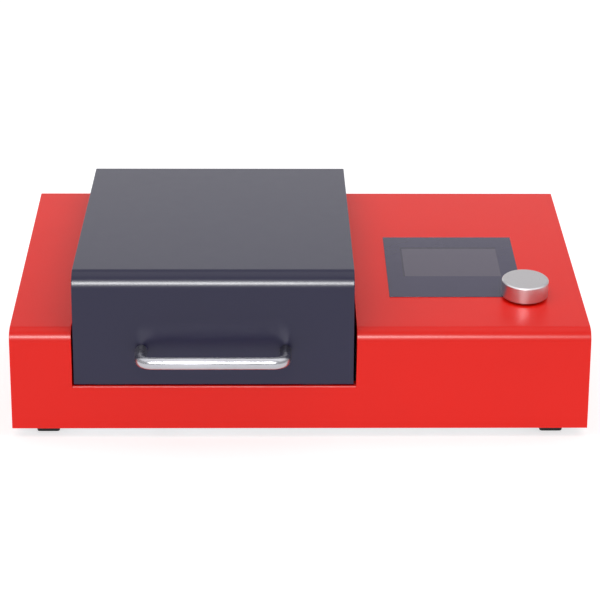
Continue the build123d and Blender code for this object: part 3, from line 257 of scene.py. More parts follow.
def circuit_board(name, mask, track):
    """A lacquered board: tracks on a square grid under the mask, and a ground plane in patches."""
    tree, place, shader = blank(name)
    tracks_per_metre, patch_size, lacquer_size, track_height = 260.0, 0.02, 0.004, 0.00003
    tracks = add(tree, "ShaderNodeTexBrick", {
        "Vector": place, "Scale": tracks_per_metre, "Mortar Size": 0.06,
        "Color1": (0, 0, 0, 1), "Color2": (0.35, 0.35, 0.35, 1), "Mortar": (1, 1, 1, 1)})
    patches = between(tree, noise(tree, place, patch_size, 0), 0, 0.5, 0.52, 0.54)
    lifted = maths(tree, tracks.outputs["Fac"], patches, "MAXIMUM")
    fill(tree, shader, {
        "Base Color": mixed(tree, lifted, mask, track),
        "Roughness": between(tree, noise(tree, place, lacquer_size, 2), 0.22, 0.34)})
    raise_bump(tree, shader, lifted, track_height)


def turned_metal(name, colour, centre, tilt):
    """Metal turned on a lathe: fine rings about the knob's own axis."""
    tree, place, shader = blank(name)
    ring_size, fine_size, ring_depth = 0.00025, 0.0006, 0.000006
    parts = tilted(tree, place, centre, tilt)
    across = add(tree, "ShaderNodeCombineXYZ", {"X": parts["X"], "Y": parts["Y"]})
    radius = add(tree, "ShaderNodeVectorMath", {0: across.outputs["Vector"]}, operation="LENGTH")
    along = add(tree, "ShaderNodeCombineXYZ", {"X": radius.outputs["Value"], "Y": parts["Z"]})
    rings = noise(tree, along.outputs["Vector"], ring_size, 2)
    both = maths(tree, rings, noise(tree, place, fine_size, 2), "ADD")
    fill(tree, shader, {
        "Metallic": 1.0,
        "Base Color": toned(tree, rings, colour, 0.93, 1.03),
        "Roughness": between(tree, both, 0.26, 0.4, 0.7, 1.3)})
    raise_bump(tree, shader, rings, ring_depth)


def window_film(name, colour, glass, centre, screen, tilt):
    """Glossy front film of the display: a clear window over the grey screen, with a painted shadow
    of the screen's frame darkening the film along the screen's upper and left edges."""
    tree, place, shader = blank(name)
    tone_size, gloss_size = 0.03, 0.004
    # Widths of the painted shadow beside the screen's left and upper edges, its soft edge, and how
    # dark it is
    shadow_left, shadow_top, shadow_soft, painted_shadow_share = 0.0012, 0.0026, 0.0007, 0.62
    window_soft = 0.0005
    parts = tilted(tree, place, centre, tilt)

    def inside(left, right, low, high, soft):
        """1 inside a rectangle of the film, and 0 outside it, with an edge of a soft width."""
        shares = []
        for axis, start, end in (("X", left, right), ("Y", low, high)):
            off = maths(tree, parts[axis], (start + end) / 2, "SUBTRACT")
            half = (end - start) / 2
            shares.append(between(tree, maths(tree, off, operation="ABSOLUTE"), 1, 0,
                                  half - soft, half + soft))
        return maths(tree, *shares)

    left, right, low, high = screen
    body = toned(tree, noise(tree, place, tone_size, 3), colour, 0.97, 1.03)
    # A band beside the screen's left and upper edges, darkened as a painted shadow of the screen's
    # frame
    painted_shadow_band = inside(left - shadow_left, right, low, high + shadow_top, shadow_soft)
    edge = mixed(tree, painted_shadow_band, body, shade(colour, painted_shadow_share))
    fill(tree, shader, {
        "Base Color": mixed(tree, inside(left, right, low, high, window_soft), edge, glass),
        "Roughness": between(tree, noise(tree, place, gloss_size, 3), 0.1, 0.16),
        "Coat Weight": 0.3,
        "Coat Roughness": 0.05})


def studio_paper(name, colour, glow):
    """Matt backdrop paper, lit from below as well by a share of white."""
    tree, place, shader = blank(name)
    fibre_size = 0.004
    fibres = noise(tree, place, fibre_size, 3)
    fill(tree, shader, {
        "Base Color": mixed(tree, fibres, shade(colour, 0.995), colour),
        "Roughness": 0.95,
        "Specular IOR Level": 0.1,
        "Emission Color": (1, 1, 1, 1),
        "Emission Strength": glow})


def rgb(red, green, blue):
    """A colour given in values of 0 to 255, as Blender's linear colour."""
    values = [c / 255 for c in (red, green, blue)]
    linear = (c / 12.92 if c < 0.04045 else ((c + 0.055) / 1.055) ** 2.4 for c in values)
    return tuple(linear) + (1.0,)


# Making pieces


def owner(name):
    """The CAD body that a node rides on."""
    return frame["nodes"][name]["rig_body"]


def finish(piece, material):
    """Gives the piece one finish."""
    piece.data.materials.clear()
    piece.data.materials.append(bpy.data.materials[material])


def stand_in(piece, material, *nodes):
    """Shows the piece in place of CAD nodes, on their body."""
    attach(piece, owner(nodes[0]))
    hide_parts(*nodes)


def linked(name, data):
    """A new object in the scene."""
    piece = bpy.data.objects.new(name, data)
    bpy.context.scene.collection.objects.link(piece)
    return piece


def settle(piece):
    """Makes the piece a plain mesh with its modifiers applied."""
    graph = bpy.context.evaluated_depsgraph_get()
    plain = bpy.data.meshes.new_from_object(piece.evaluated_get(graph))
    piece.modifiers.clear()
    piece.data = plain
    return piece


def smooth(mesh):
    """Shades every face smooth."""
    mesh.polygons.foreach_set("use_smooth", [True] * len(mesh.polygons))


def sharpen(piece, angle):
    """Shades the piece smooth, apart from edges sharper than the angle in degrees."""
    smooth(piece.data)
    form = bmesh.new()
    form.from_mesh(piece.data)
    for edge in form.edges:
        edge.smooth = len(edge.link_faces) == 2 and edge.calc_face_angle(0) < math.radians(angle)
    form.to_mesh(piece.data)
    form.free()
    return piece


def round_edges(piece, width, steps=2, seam=30.0):
    """Rounds the edges sharper than seam degrees, keeps flats flat with weighted normals, and
    applies both."""
    smooth(piece.data)
    if width:
        bevel = piece.modifiers.new("Edges", "BEVEL")
        bevel.width = width
        bevel.segments = steps
        bevel.limit_method = "ANGLE"
        bevel.angle_limit = math.radians(seam)
        bevel.use_clamp_overlap = False
        bevel.miter_outer = "MITER_ARC"
        bevel.loop_slide = False
        bevel.face_strength_mode = "FSTR_ALL"
    flats = piece.modifiers.new("Flats", "WEIGHTED_NORMAL")
    flats.weight = 100
    flats.use_face_influence = bool(width)
    return settle(piece)


def merged(mesh):
    """A mesh's shape with its loose triangles joined."""
    form = bmesh.new()
    form.from_mesh(mesh)
    bmesh.ops.remove_doubles(form, verts=form.verts, dist=same_point)
    return form


def rounded_copy(name, width, steps=2):
    """A copy of a CAD node's shape with its edges rounded."""
    mesh = frame["nodes"][name].data.copy()
    if "custom_normal" in mesh.attributes:
        mesh.attributes.remove(mesh.attributes["custom_normal"])
    form = merged(mesh)
    bmesh.ops.dissolve_limit(form, angle_limit=flat_angle, verts=form.verts, edges=form.edges)
    form.to_mesh(mesh)
    form.free()
    return round_edges(linked(f"{name}_finished", mesh), width, steps)


def refined(name, material, width, steps=2):
    """A CAD node's own shape with its edges rounded, shown in the node's place."""
    piece = rounded_copy(name, width, steps)
    finish(piece, material)
    stand_in(piece, material, name)


def closed_piece(name, form):
    """A new object from a closed form, with its faces turned outwards."""
    bmesh.ops.recalc_face_normals(form, faces=form.faces)
    mesh = bpy.data.meshes.new(name)
    form.to_mesh(mesh)
    form.free()
    return linked(name, mesh)


def bridge(form, rings):
    """Faces from each ring of points to the next, and round to a ring of only one point."""
    for first, second in zip(rings, rings[1:]):
        for i in range(max(len(first), len(second))):
            corners = [first[i % len(first)], first[(i + 1) % len(first)],
                       second[(i + 1) % len(second)], second[i % len(second)]]
            form.faces.new(list(dict.fromkeys(corners)))


def turned_point(centre, up, radius, height, turn):
    """A point at a radius and a height, turned about the line through the centre along up."""
    spin = up.to_track_quat("Z", "Y").to_matrix()
    return centre + spin @ Vector((radius * math.cos(turn), radius * math.sin(turn), height))


def axis_point(axis, depth, radius, turn):
    """A point at a depth, and at a radius and turn about the line along Y through the axis."""
    return Vector((axis.x + radius * math.cos(turn), depth, axis.z + radius * math.sin(turn)))


def lathed(name, profile, centre, up, steps=96):
    """A closed shape turned about the line through the centre along up. Its profile's points are
    (radius, height), and both ends are on the line."""
    form = bmesh.new()
    bridge(form, [[form.verts.new(turned_point(centre, up, radius, height, full_turn * i / steps))
                   for i in range(steps if radius > 0 else 1)] for radius, height in profile])
    return closed_piece(name, form)


def turned_ring(name, section, centre, up):
    """A closed ring: a section of (radius, height) points turned about the line through the
    centre along up."""
    steps = 48
    form = bmesh.new()
    rings = [[form.verts.new(turned_point(centre, up, radius, height, full_turn * i / steps))
              for radius, height in section] for i in range(steps)]
    bridge(form, rings + rings[:1])
    return sharpen(closed_piece(name, form), angle=30)


def plate(name, outline, place, across, above, height):
    """A thin plate on a face: its outline's points lie along two directions of the face."""
    form = bmesh.new()
    out = across.cross(above)
    levels = [[form.verts.new(place + across * x + above * y + out * h) for x, y in outline]
              for h in (-height, height)]
    bridge(form, levels)
    for level in levels:
        form.faces.new(level)
    return closed_piece(name, form)


def joined(name, pieces):
    """One piece made of several, each with its own materials."""
    form = bmesh.new()
    mesh = bpy.data.meshes.new(name)
    for piece in pieces:
        first = len(form.faces)
        shift = len(mesh.materials)
        form.from_mesh(piece.data)
        form.faces.ensure_lookup_table()
        for face in form.faces[first:]:
            face.material_index += shift
        for material in piece.data.materials:
            mesh.materials.append(material)
        bpy.data.objects.remove(piece)
    form.to_mesh(mesh)
    form.free()
    return linked(name, mesh)


def blades(name, centre, count, radii, chord, thickness, lean, camber):
    """Cambered blades round the line along Y through the centre. Their radius, chord and lean are
    given at the root and at the tip."""
    stations, steps, edge_share, fullness = 8, 9, 0.25, 0.6
    form = bmesh.new()
    for i in range(count):
        turn = full_turn * i / count
        out = Vector((math.cos(turn), 0, math.sin(turn)))
        side = Vector((-math.sin(turn), 0, math.cos(turn)))
        rings = []
        for station in range(stations):
            share = station / (stations - 1)
            radius, wide, angle = (
                root + share * (tip - root) for root, tip in (radii, chord, lean))
            along = backwards * math.cos(angle) + side * math.sin(angle)
            normal = side * math.cos(angle) - backwards * math.sin(angle)
            ring = []
            for face in (1, -1):
                for step in range(steps):
                    t = step / steps if face > 0 else 1 - step / steps
                    bulge = camber * wide * 4 * t * (1 - t)
                    swell = edge_share + (1 - edge_share) * math.sin(math.pi * t) ** fullness
                    point = centre + out * radius + along * (t - 0.5) * wide
                    point += normal * (bulge + face * thickness / 2 * swell)
                    ring.append(form.verts.new(point))
            rings.append(ring)
        bridge(form, rings)
        form.faces.new(rings[0])
        form.faces.new(rings[-1])
    return sharpen(closed_piece(name, form), angle=40)


# Geometry trees for what repeats


def new_tree(name, inputs):
    """A geometry tree with named inputs, and the outputs of its group input."""
    tree = bpy.data.node_groups.new(name, "GeometryNodeTree")
    tree.interface.new_socket("Geometry", in_out="INPUT", socket_type="NodeSocketGeometry")
    for label, (kind, value) in inputs.items():
        socket = tree.interface.new_socket(label, in_out="INPUT", socket_type=f"NodeSocket{kind}")
        if value is not None:
            socket.default_value = value
    tree.interface.new_socket("Geometry", in_out="OUTPUT", socket_type="NodeSocketGeometry")
    return tree, add(tree, "NodeGroupInput").outputs


def shaped(tree, kind, inputs, **settings):
    """The geometry that a geometry node of the kind makes: its first output."""
    return add(tree, f"GeometryNode{kind}", inputs, **settings).outputs[0]


def dressed(tree, geometry, material):
    """The geometry in a material."""
    return shaped(tree, "SetMaterial", {"Geometry": geometry, "Material": material})


def closing(tree, geometry, material=None):
    """Ends a tree: real geometry, in its material where it has only one."""
    real = shaped(tree, "RealizeInstances", {"Geometry": geometry})
    if material is not None:
        real = dressed(tree, real, material)
    add(tree, "NodeGroupOutput", {"Geometry": real})


def vector(tree, **parts):
    """A vector from its X, Y and Z."""
    return add(tree, "ShaderNodeCombineXYZ", parts).outputs["Vector"]


def stepped(tree, mesh, top, height, scale):
    """Draws the top of a mesh up by a height, then scales it about its own middle."""
    drawn = add(tree, "GeometryNodeExtrudeMesh", {
        "Mesh": mesh, "Selection": top, "Offset": vector(tree, Z=height),
        "Offset Scale": 1.0, "Individual": False}).outputs
    return shaped(tree, "ScaleElements", {
        "Geometry": drawn["Mesh"], "Scale": scale, "Selection": drawn["Top"]}), drawn["Top"]


def seated(tree, given, shape):
    """The shape on each given seat, turned to face the given direction."""
    aim = add(tree, "FunctionNodeAlignRotationToVector", {"Vector": given["Direction"]}, axis="Z")
    return shaped(tree, "InstanceOnPoints", {
        "Points": given["Geometry"], "Instance": shape, "Rotation": aim.outputs["Rotation"]})


def screw_head_tree():
    """A domed head with a six-lobed socket on each seat, turned to face one direction."""
    tree, given = new_tree("Screw Heads", {
        "Direction": ("Vector", (0, 0, 1)),
        "Head Radius": ("Float", 0.0028),
        "Head Height": ("Float", 0.0016),
        "Socket Radius": ("Float", 0.0013),
        "Material": ("Material", None),
    })
    dome = ((0.45, 1.0), (0.3, 0.94), (0.17, 0.83), (0.08, 0.72))
    crown, lobes, lobe_depth = 0.5618, 6.0, 0.13
    socket_depth, socket_taper = -0.55, 0.9
    radius, height = given["Head Radius"], given["Head Height"]
    disc = shaped(tree, "MeshCircle", {"Vertices": 36, "Radius": radius}, fill_type="NGON")
    under = shaped(tree, "FlipFaces", {"Mesh": disc})
    mesh, top = disc, True
    for rise, scale in dome:
        mesh, top = stepped(tree, mesh, top, maths(tree, height, rise), scale)
    share = maths(tree, given["Socket Radius"], maths(tree, radius, crown), "DIVIDE")
    mesh, top = stepped(tree, mesh, top, 0.0, share)
    point = add(tree, "GeometryNodeInputPosition").outputs[0]
    parts = add(tree, "ShaderNodeSeparateXYZ", {"Vector": point}).outputs
    turn = maths(tree, parts["Y"], parts["X"], "ARCTAN2")
    wave = maths(tree, maths(tree, turn, lobes), operation="COSINE")
    shift = add(tree, "ShaderNodeVectorMath", {
        0: vector(tree, X=parts["X"], Y=parts["Y"]), "Scale": maths(tree, wave, lobe_depth),
    }, operation="SCALE").outputs["Vector"]
    mesh = shaped(tree, "SetPosition", {
        "Geometry": mesh, "Selection": top, "Offset": shift})
    mesh, top = stepped(tree, mesh, top, maths(tree, height, socket_depth), socket_taper)
    head = shaped(tree, "JoinGeometry", {"Geometry": [mesh, under]})
    head = shaped(tree, "MergeByDistance", {"Geometry": head, "Distance": 1e-6})
    closing(tree, seated(tree, given, head), given["Material"])


def diode_tree():
    """A ceramic body with a clear dome on each seat, turned to face one direction."""
    tree, given = new_tree("Diodes", {
        "Direction": ("Vector", (0, 0, 1)),
        "Size": ("Float", 0.005),
        "Height": ("Float", 0.0018),
        "Body": ("Material", None),
        "Lens": ("Material", None),
    })
    body_height, rim, recess_depth, recess_taper = 0.45, 0.84, -0.3, 0.9
    dome_radius, dome_height, dome_seat = 0.36, 0.69, 0.31
    size, height = given["Size"], given["Height"]
    thick = maths(tree, height, body_height)
    block = shaped(tree, "MeshCube", {"Size": vector(tree, X=size, Y=size, Z=thick)})
    block = shaped(tree, "Transform", {
        "Geometry": block, "Translation": vector(tree, Z=maths(tree, thick, 0.5))})
    normal = add(tree, "GeometryNodeInputNormal").outputs[0]
    parts = add(tree, "ShaderNodeSeparateXYZ", {"Vector": normal}).outputs
    facing = maths(tree, parts["Z"], 0.5, "GREATER_THAN")
    block, top = stepped(tree, block, facing, 0.0, rim)
    block, top = stepped(tree, block, top, maths(tree, thick, recess_depth), recess_taper)
    ball = shaped(tree, "MeshUVSphere", {"Segments": 20, "Rings": 10, "Radius": 1.0})
    wide = maths(tree, size, dome_radius)
    ball = shaped(tree, "Transform", {
        "Geometry": ball, "Scale": vector(tree, X=wide, Y=wide, Z=maths(tree, height, dome_height)),
        "Translation": vector(tree, Z=maths(tree, height, dome_seat))})
    ball = shaped(tree, "SetShadeSmooth", {"Geometry": ball})
    one = shaped(tree, "JoinGeometry", {"Geometry": [
        dressed(tree, block, given["Body"]), dressed(tree, ball, given["Lens"])]})
    closing(tree, seated(tree, given, one))


def wire_tree():
    """Round wire along the carrier's edges, with its corners rounded."""
    tree, given = new_tree("Wires", {
        "Wire Radius": ("Float", 0.001),
        "Corner Radius": ("Float", 0.0),
        "Material": ("Material", None),
    })
    path = shaped(tree, "MeshToCurve", {"Mesh": given["Geometry"]})
    path = shaped(tree, "FilletCurve", {
        "Curve": path, "Radius": given["Corner Radius"], "Count": 5, "Limit Radius": True,
    }, mode="POLY")
    ring = shaped(tree, "CurvePrimitiveCircle", {
        "Resolution": 14, "Radius": given["Wire Radius"]})
    wire = shaped(tree, "CurveToMesh", {
        "Curve": path, "Profile Curve": ring, "Fill Caps": True})
    closing(tree, shaped(tree, "SetShadeSmooth", {"Geometry": wire}), given["Material"])


def grown(name, tree_name, points, values, edges=()):
    """Runs a geometry tree on points and edges, and makes the result a plain mesh. A material is
    given by its name."""
    tree = bpy.data.node_groups[tree_name]
    mesh = bpy.data.meshes.new(name)
    mesh.from_pydata(points, edges, [])
    piece = linked(name, mesh)
    modifier = piece.modifiers.new(name, "NODES")
    modifier.node_group = tree
    for item in tree.interface.items_tree:
        if item.in_out == "INPUT" and item.name in values:
            value = values[item.name]
            if isinstance(value, str):
                value = bpy.data.materials[value]
            modifier[item.identifier] = value
    return settle(piece)


def solids(name):
    """The separate solids of a CAD node, each as a list of its points, in the mesh's own order."""
    form = merged(frame["nodes"][name].data)
    left = dict.fromkeys(form.verts)
    found = []
    while left:
        points, edge = [], [next(iter(left))]
        del left[edge[0]]
        while edge:
            vert = edge.pop()
            points.append(vert.co.copy())
            near = [e.other_vert(vert) for e in vert.link_edges if e.other_vert(vert) in left]
            for other in near:
                del left[other]
            edge += near
        found.append(points)
    form.free()
    return found


def centres(name):
    """The middles of the separate solids of a CAD node."""
    found = []
    for points in solids(name):
        low, high = (Vector([edge(p[i] for p in points) for i in range(3)]) for edge in (min, max))
        found.append((low + high) / 2)
    return found


def screw_heads(name, material, up, socket_share):
    """Socketed heads on the shanks of a node of screws, all facing one way."""
    seats = []
    tall, wide, near_rim = 0.0, 0.0, 0.9
    for points in solids(name):
        top = max(p.dot(up) for p in points)
        crown = [p for p in points if p.dot(up) > top - same_level]
        centre = sum(crown, Vector()) / len(crown)
        wide = max((p - centre).length for p in crown)
        rim = [p.dot(up) for p in points
               if (p - centre - up * (p - centre).dot(up)).length > near_rim * wide]
        tall = top - min(rim)
        seats.append(centre - up * tall)
    return sharpen(grown(f"{name}_heads", "Screw Heads", seats, {
        "Direction": up, "Head Radius": wide, "Head Height": tall,
        "Socket Radius": wide * socket_share, "Material": material}), angle=35)


def fan_guard(axis, count):
    """The guard's wires: rings welded on spokes, and a formed eye under each fan screw."""
    low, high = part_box("fan_guard")
    wire, spoke, bend, sunk = 0.0009, 0.0011, 0.0018, 0.0024
    outer, eye, bore, thick = 0.0371, 0.0055, 0.0021, 0.0026
    front, bench, foot = high.y - wire, high.y - sunk, low.y + thick / 2
    steps, arc_steps = 96, 8
    points, edges = [], []
    for i in range(count):
        first = len(points)
        radius = outer * (i + 1) / count
        points += [axis_point(axis, front, radius, full_turn * j / steps) for j in range(steps)]
        edges += [(first + j, first + (j + 1) % steps) for j in range(steps)]
    rings = grown("guard_rings", "Wires", points, {
        "Wire Radius": wire, "Material": "stainless"}, edges)
    section = []
    for radius, start in ((eye - thick / 2, -90), (bore + thick / 2, 90)):
        for step in range(arc_steps + 1):
            turn = math.radians(start + 180 / arc_steps * step)
            section.append((radius + thick / 2 * math.cos(turn), thick / 2 * (1 + math.sin(turn))))
    points, edges, eyes = [], [], []
    for i, screw in enumerate(centres("fan_screws")):
        reach = math.hypot(screw.x - axis.x, screw.z - axis.z)
        turn = math.atan2(screw.z - axis.z, screw.x - axis.x)
        run = [(outer / count / 2, bench), (outer + bend, bench), (reach - eye - 2 * spoke, foot),
               (reach - eye + spoke, foot)]
        first = len(points)
        points += [axis_point(axis, y, radius, turn) for radius, y in run]
        edges += [(first + j, first + j + 1) for j in range(len(run) - 1)]
        ring = turned_ring(f"guard_eye_{i}", section, Vector((screw.x, low.y, screw.z)), backwards)
        finish(ring, "stainless")
        eyes.append(ring)
    spokes = grown("guard_spokes", "Wires", points, {
        "Wire Radius": spoke, "Corner Radius": bend, "Material": "stainless"}, edges)
    return joined("fan_guard_wires", [rings, spokes, *eyes])


# The settings, the pieces and the stage


as_length = {"unit": "LENGTH", "subtype": "DISTANCE", "min": 0, "precision": 6}
as_colour = {"subtype": "COLOR", "size": 4, "min": 0, "max": 1}


class CuringUnitSettings(PropertyGroup):
    """Colours, edges and fine sizes of the unit's finish."""

    housing_colour: FloatVectorProperty(
        name="Housing", description="Powder coat of the housing",
        default=rgb(243, 21, 3), **as_colour)
    hood_colour: FloatVectorProperty(
        name="Hood", description="Powder coat of the hood",
        default=rgb(24, 21, 60), **as_colour)
    film_colour: FloatVectorProperty(
        name="Display", description="Front film of the display",
        default=rgb(62, 57, 86), **as_colour)
    screen_colour: FloatVectorProperty(
        name="Screen", description="Screen behind the film, off",
        default=rgb(90, 83, 102), **as_colour)
    coat_roughness: FloatProperty(
        name="Coat Roughness", description="How matt the powder coat is",
        subtype="FACTOR", min=0, max=1, default=0.31)
    peel_depth: FloatProperty(
        name="Orange Peel", description="Depth of the coat's fine waves",
        default=0.000012, **as_length)
    shell_edge: FloatProperty(
        name="Shell Edges", description="Radius along the edges of coated sheets",
        default=0.0005, **as_length)
    fine_edge: FloatProperty(
        name="Fine Edges", description="Radius along the edges of small parts",
        default=0.0002, **as_length)
    socket_share: FloatProperty(
        name="Screw Sockets", description="Socket radius as a share of the head's",
        subtype="FACTOR", min=0.1, max=0.7, default=0.48)
    knob_edge: FloatProperty(
        name="Knob Chamfer", description="Width of the chamfer round the dial",
        default=0.001, **as_length)
    blade_count: IntProperty(
        name="Fan Blades", description="Blades of the fan", min=3, max=13, default=7)
    blade_twist: FloatProperty(
        name="Blade Twist", description="How much a fan blade turns from hub to tip",
        unit="ROTATION", subtype="ANGLE", default=math.radians(16))
    guard_rings: IntProperty(
        name="Guard Rings", description="Rings of the fan guard", min=1, max=12, default=4)
    lens_length: FloatProperty(
        name="Camera Lens", description="Focal length on a 36 mm sensor",
        min=10, max=400, default=127.88)


class CURINGUNIT_OT_finishes(Operator):
    """Make the coats, metals, plastics and glass"""

    bl_idname = "curing_unit.finishes"
    bl_label = "Finishes"

    def execute(self, context):
        chosen = context.scene.curing_unit
        for name, colour, shine in (("red_coat", chosen.housing_colour, 0.28),
                                    ("slate_coat", chosen.hood_colour, 0.46)):
            powder_coat(name, colour, chosen.coat_roughness, chosen.peel_depth, shine)
        # Colour, roughness, size of the grain, its stretch and its depth
        metals = {
            "stainless": (rgb(188, 188, 194), 0.27, 0.0005, (0.06, 1, 1), 0.000004),
            "bright_aluminium": (rgb(226, 227, 230), 0.17, 0.0004, (1, 0.04, 1), 0.000003, 0.05),
            "plain_aluminium": (rgb(196, 198, 202), 0.38, 0.0006, (1, 0.03, 1), 0.00001),
            "zinc_screw": (rgb(190, 192, 200), 0.3, 0.0005, (1, 1, 1), 0.000005),
            "black_screw": (rgb(52, 52, 56), 0.36, 0.0005, (1, 1, 1), 0.000006),
            "contact_brass": (rgb(202, 176, 116), 0.26, 0.0004, (1, 0.1, 1), 0.000003),
            "perforated_case": (rgb(176, 178, 182), 0.4, 0.0008, (1, 1, 0.1), 0.00001),
        }
        # Colour, roughness, size of the grain and its depth, and a clear coat on what is glossy
        plastics = {
            "black_rubber": (rgb(30, 30, 31), 0.72, 0.0007, 0.00003),
            "black_plastic": (rgb(27, 27, 29), 0.5, 0.0005, 0.00002),
            "gloss_black": (rgb(16, 16, 18), 0.16, 0.002, 0.000002, 0.4),
            "white_mark": (rgb(232, 232, 228), 0.4, 0.0005, 0.000005),
            "white_board": (rgb(232, 233, 226), 0.34, 0.003, 0.000006, 0.2),
            "diode": (rgb(222, 214, 190), 0.4, 0.0006, 0.000004),
            "screen": (rgb(40, 40, 46), 0.2, 0.002, 0.000002, 0.3),
        }
        for make, rows in ((metal, metals), (moulded, plastics)):
            for name, values in rows.items():
                make(name, *values)
        zinc_sheet("zinc_sheet", rgb(186, 190, 196))
        turned_metal("turned_aluminium", rgb(214, 211, 214), middle("dial_knob"), deck_tilt)
        clear_glass("clear_glass", rgb(246, 252, 250))
        clear_glass("lens_silicone", rgb(252, 248, 236))
        circuit_board("circuit_board", rgb(14, 74, 42), rgb(38, 128, 74))
        screen_edges = (-0.0422, 0.0422, -0.0205, 0.0365)
        window_film("window_film", chosen.film_colour, chosen.screen_colour,
                    middle("display_overlay"), screen_edges, deck_tilt)
        return {"FINISHED"}


class CURINGUNIT_OT_housing(Operator):
    """Finish the housing shell, the rear panel, the base plate and the partition"""

    bl_idname = "curing_unit.housing"
    bl_label = "Housing"

    def execute(self, context):
        chosen = context.scene.curing_unit
        refined("housing_shell", "red_coat", chosen.shell_edge, 3)
        refined("rear_panel", "red_coat", chosen.fine_edge)
        for name in ("base_plate", "partition_panel"):
            refined(name, "zinc_sheet", chosen.fine_edge)
        return {"FINISHED"}


class CURINGUNIT_OT_feet(Operator):
    """Finish the four rubber feet"""

    bl_idname = "curing_unit.feet"
    bl_label = "Feet"

    def execute(self, context):
        edge = 0.0005
        for place in ("front_left", "front_right", "rear_left", "rear_right"):
            refined(f"foot_{place}", "black_rubber", edge, 3)
        return {"FINISHED"}


class CURINGUNIT_OT_hood(Operator):
    """Finish the hood, its rubber strips, its magnet and the switch beside it"""

    bl_idname = "curing_unit.hood"
    bl_label = "Hood"

    def execute(self, context):
        chosen = context.scene.curing_unit
        refined("hood_shell", "slate_coat", chosen.shell_edge, 3)
        refined("hood_buffers", "black_rubber", thin_edge)
        refined("hood_magnet", "stainless", chosen.fine_edge)
        refined("reed_switch", "black_plastic", chosen.fine_edge)
        return {"FINISHED"}


class CURINGUNIT_OT_handle(Operator):
    """Finish the bow handle on the hood"""

    bl_idname = "curing_unit.handle"
    bl_label = "Handle"

    def execute(self, context):
        refined("hood_handle", "stainless", 0)
        return {"FINISHED"}


class CURINGUNIT_OT_hinge(Operator):
    """Finish both hinge leaves and the pin"""

    bl_idname = "curing_unit.hinge"
    bl_label = "Hinge"

    def execute(self, context):
        for name in ("hinge_fixed_leaf", "hinge_hood_leaf", "hinge_pin"):
            refined(name, "stainless", thin_edge, 1)
        return {"FINISHED"}


class CURINGUNIT_OT_chamber(Operator):
    """Finish the curing chamber: its tub, rails and glass floor"""

    bl_idname = "curing_unit.chamber"
    bl_label = "Chamber"

    def execute(self, context):
        fine, glass_edge = context.scene.curing_unit.fine_edge, 0.0006
        refined("chamber_tub", "bright_aluminium", fine)
        for side in ("left", "right"):
            refined(f"chamber_rail_{side}", "zinc_sheet", fine)
        refined("chamber_glass", "clear_glass", glass_edge)
        return {"FINISHED"}


class CURINGUNIT_OT_lamps(Operator):
    """Finish both lamps: sinks, boards, diodes, the reflector tray and its glass"""

    bl_idname = "curing_unit.lamps"
    bl_label = "Lamps"

    def execute(self, context):
        fine, glass_edge = context.scene.curing_unit.fine_edge, 0.0004
        size, height = 0.005, 0.0018
        for level, up in (("lower", Vector((0, 0, 1))), ("upper", -hood_up)):
            refined(f"{level}_heat_sink", "plain_aluminium", fine)
            refined(f"{level}_lamp_board", "white_board", thin_edge)
            seats = []
            for points in solids(f"{level}_diodes"):
                bottom = min(p.dot(up) for p in points)
                base = [p for p in points if p.dot(up) < bottom + same_level]
                seats.append(sum(base, Vector()) / len(base))
            field = grown(f"{level}_diode_field", "Diodes", seats, {
                "Direction": up, "Size": size, "Height": height,
                "Body": "diode", "Lens": "lens_silicone"})
            stand_in(field, "diode", f"{level}_diodes")
        refined("reflector_tray", "bright_aluminium", fine)
        refined("hood_glass", "clear_glass", glass_edge)
        return {"FINISHED"}


class CURINGUNIT_OT_display(Operator):
    """Finish the display's front film and the module behind it"""

    bl_idname = "curing_unit.display"
    bl_label = "Display"

    def execute(self, context):
        refined("display_overlay", "window_film", thin_edge)
        refined("display_module", "screen", context.scene.curing_unit.fine_edge)
        return {"FINISHED"}


class CURINGUNIT_OT_dial(Operator):
    """Turn the dial's knob, and finish the encoder under it"""

    bl_idname = "curing_unit.dial"
    bl_label = "Dial"

    def execute(self, context):
        chamfer = context.scene.curing_unit.knob_edge
        radius, half, edge = 0.020, 0.0075, 0.00018
        recess, bore = 0.007, 0.00302
        recess_top, bore_top = 0.0062 - half, 0.0125 - half
        profile = [
            (0, bore_top), (bore, bore_top), (bore, recess_top), (recess, recess_top),
            (recess, -half), (radius - chamfer, -half), (radius, -half + chamfer),
            (radius, half - chamfer), (radius - chamfer, half), (radius / 2, half), (0, half),
        ]
        knob = lathed("dial_knob_turned", profile, middle("dial_knob"), deck_up)
        round_edges(knob, edge, seam=20)
        finish(knob, "turned_aluminium")
        stand_in(knob, "turned_aluminium", "dial_knob")
        for name in ("encoder_body", "encoder_shaft"):
            refined(name, "stainless", thin_edge)
        return {"FINISHED"}


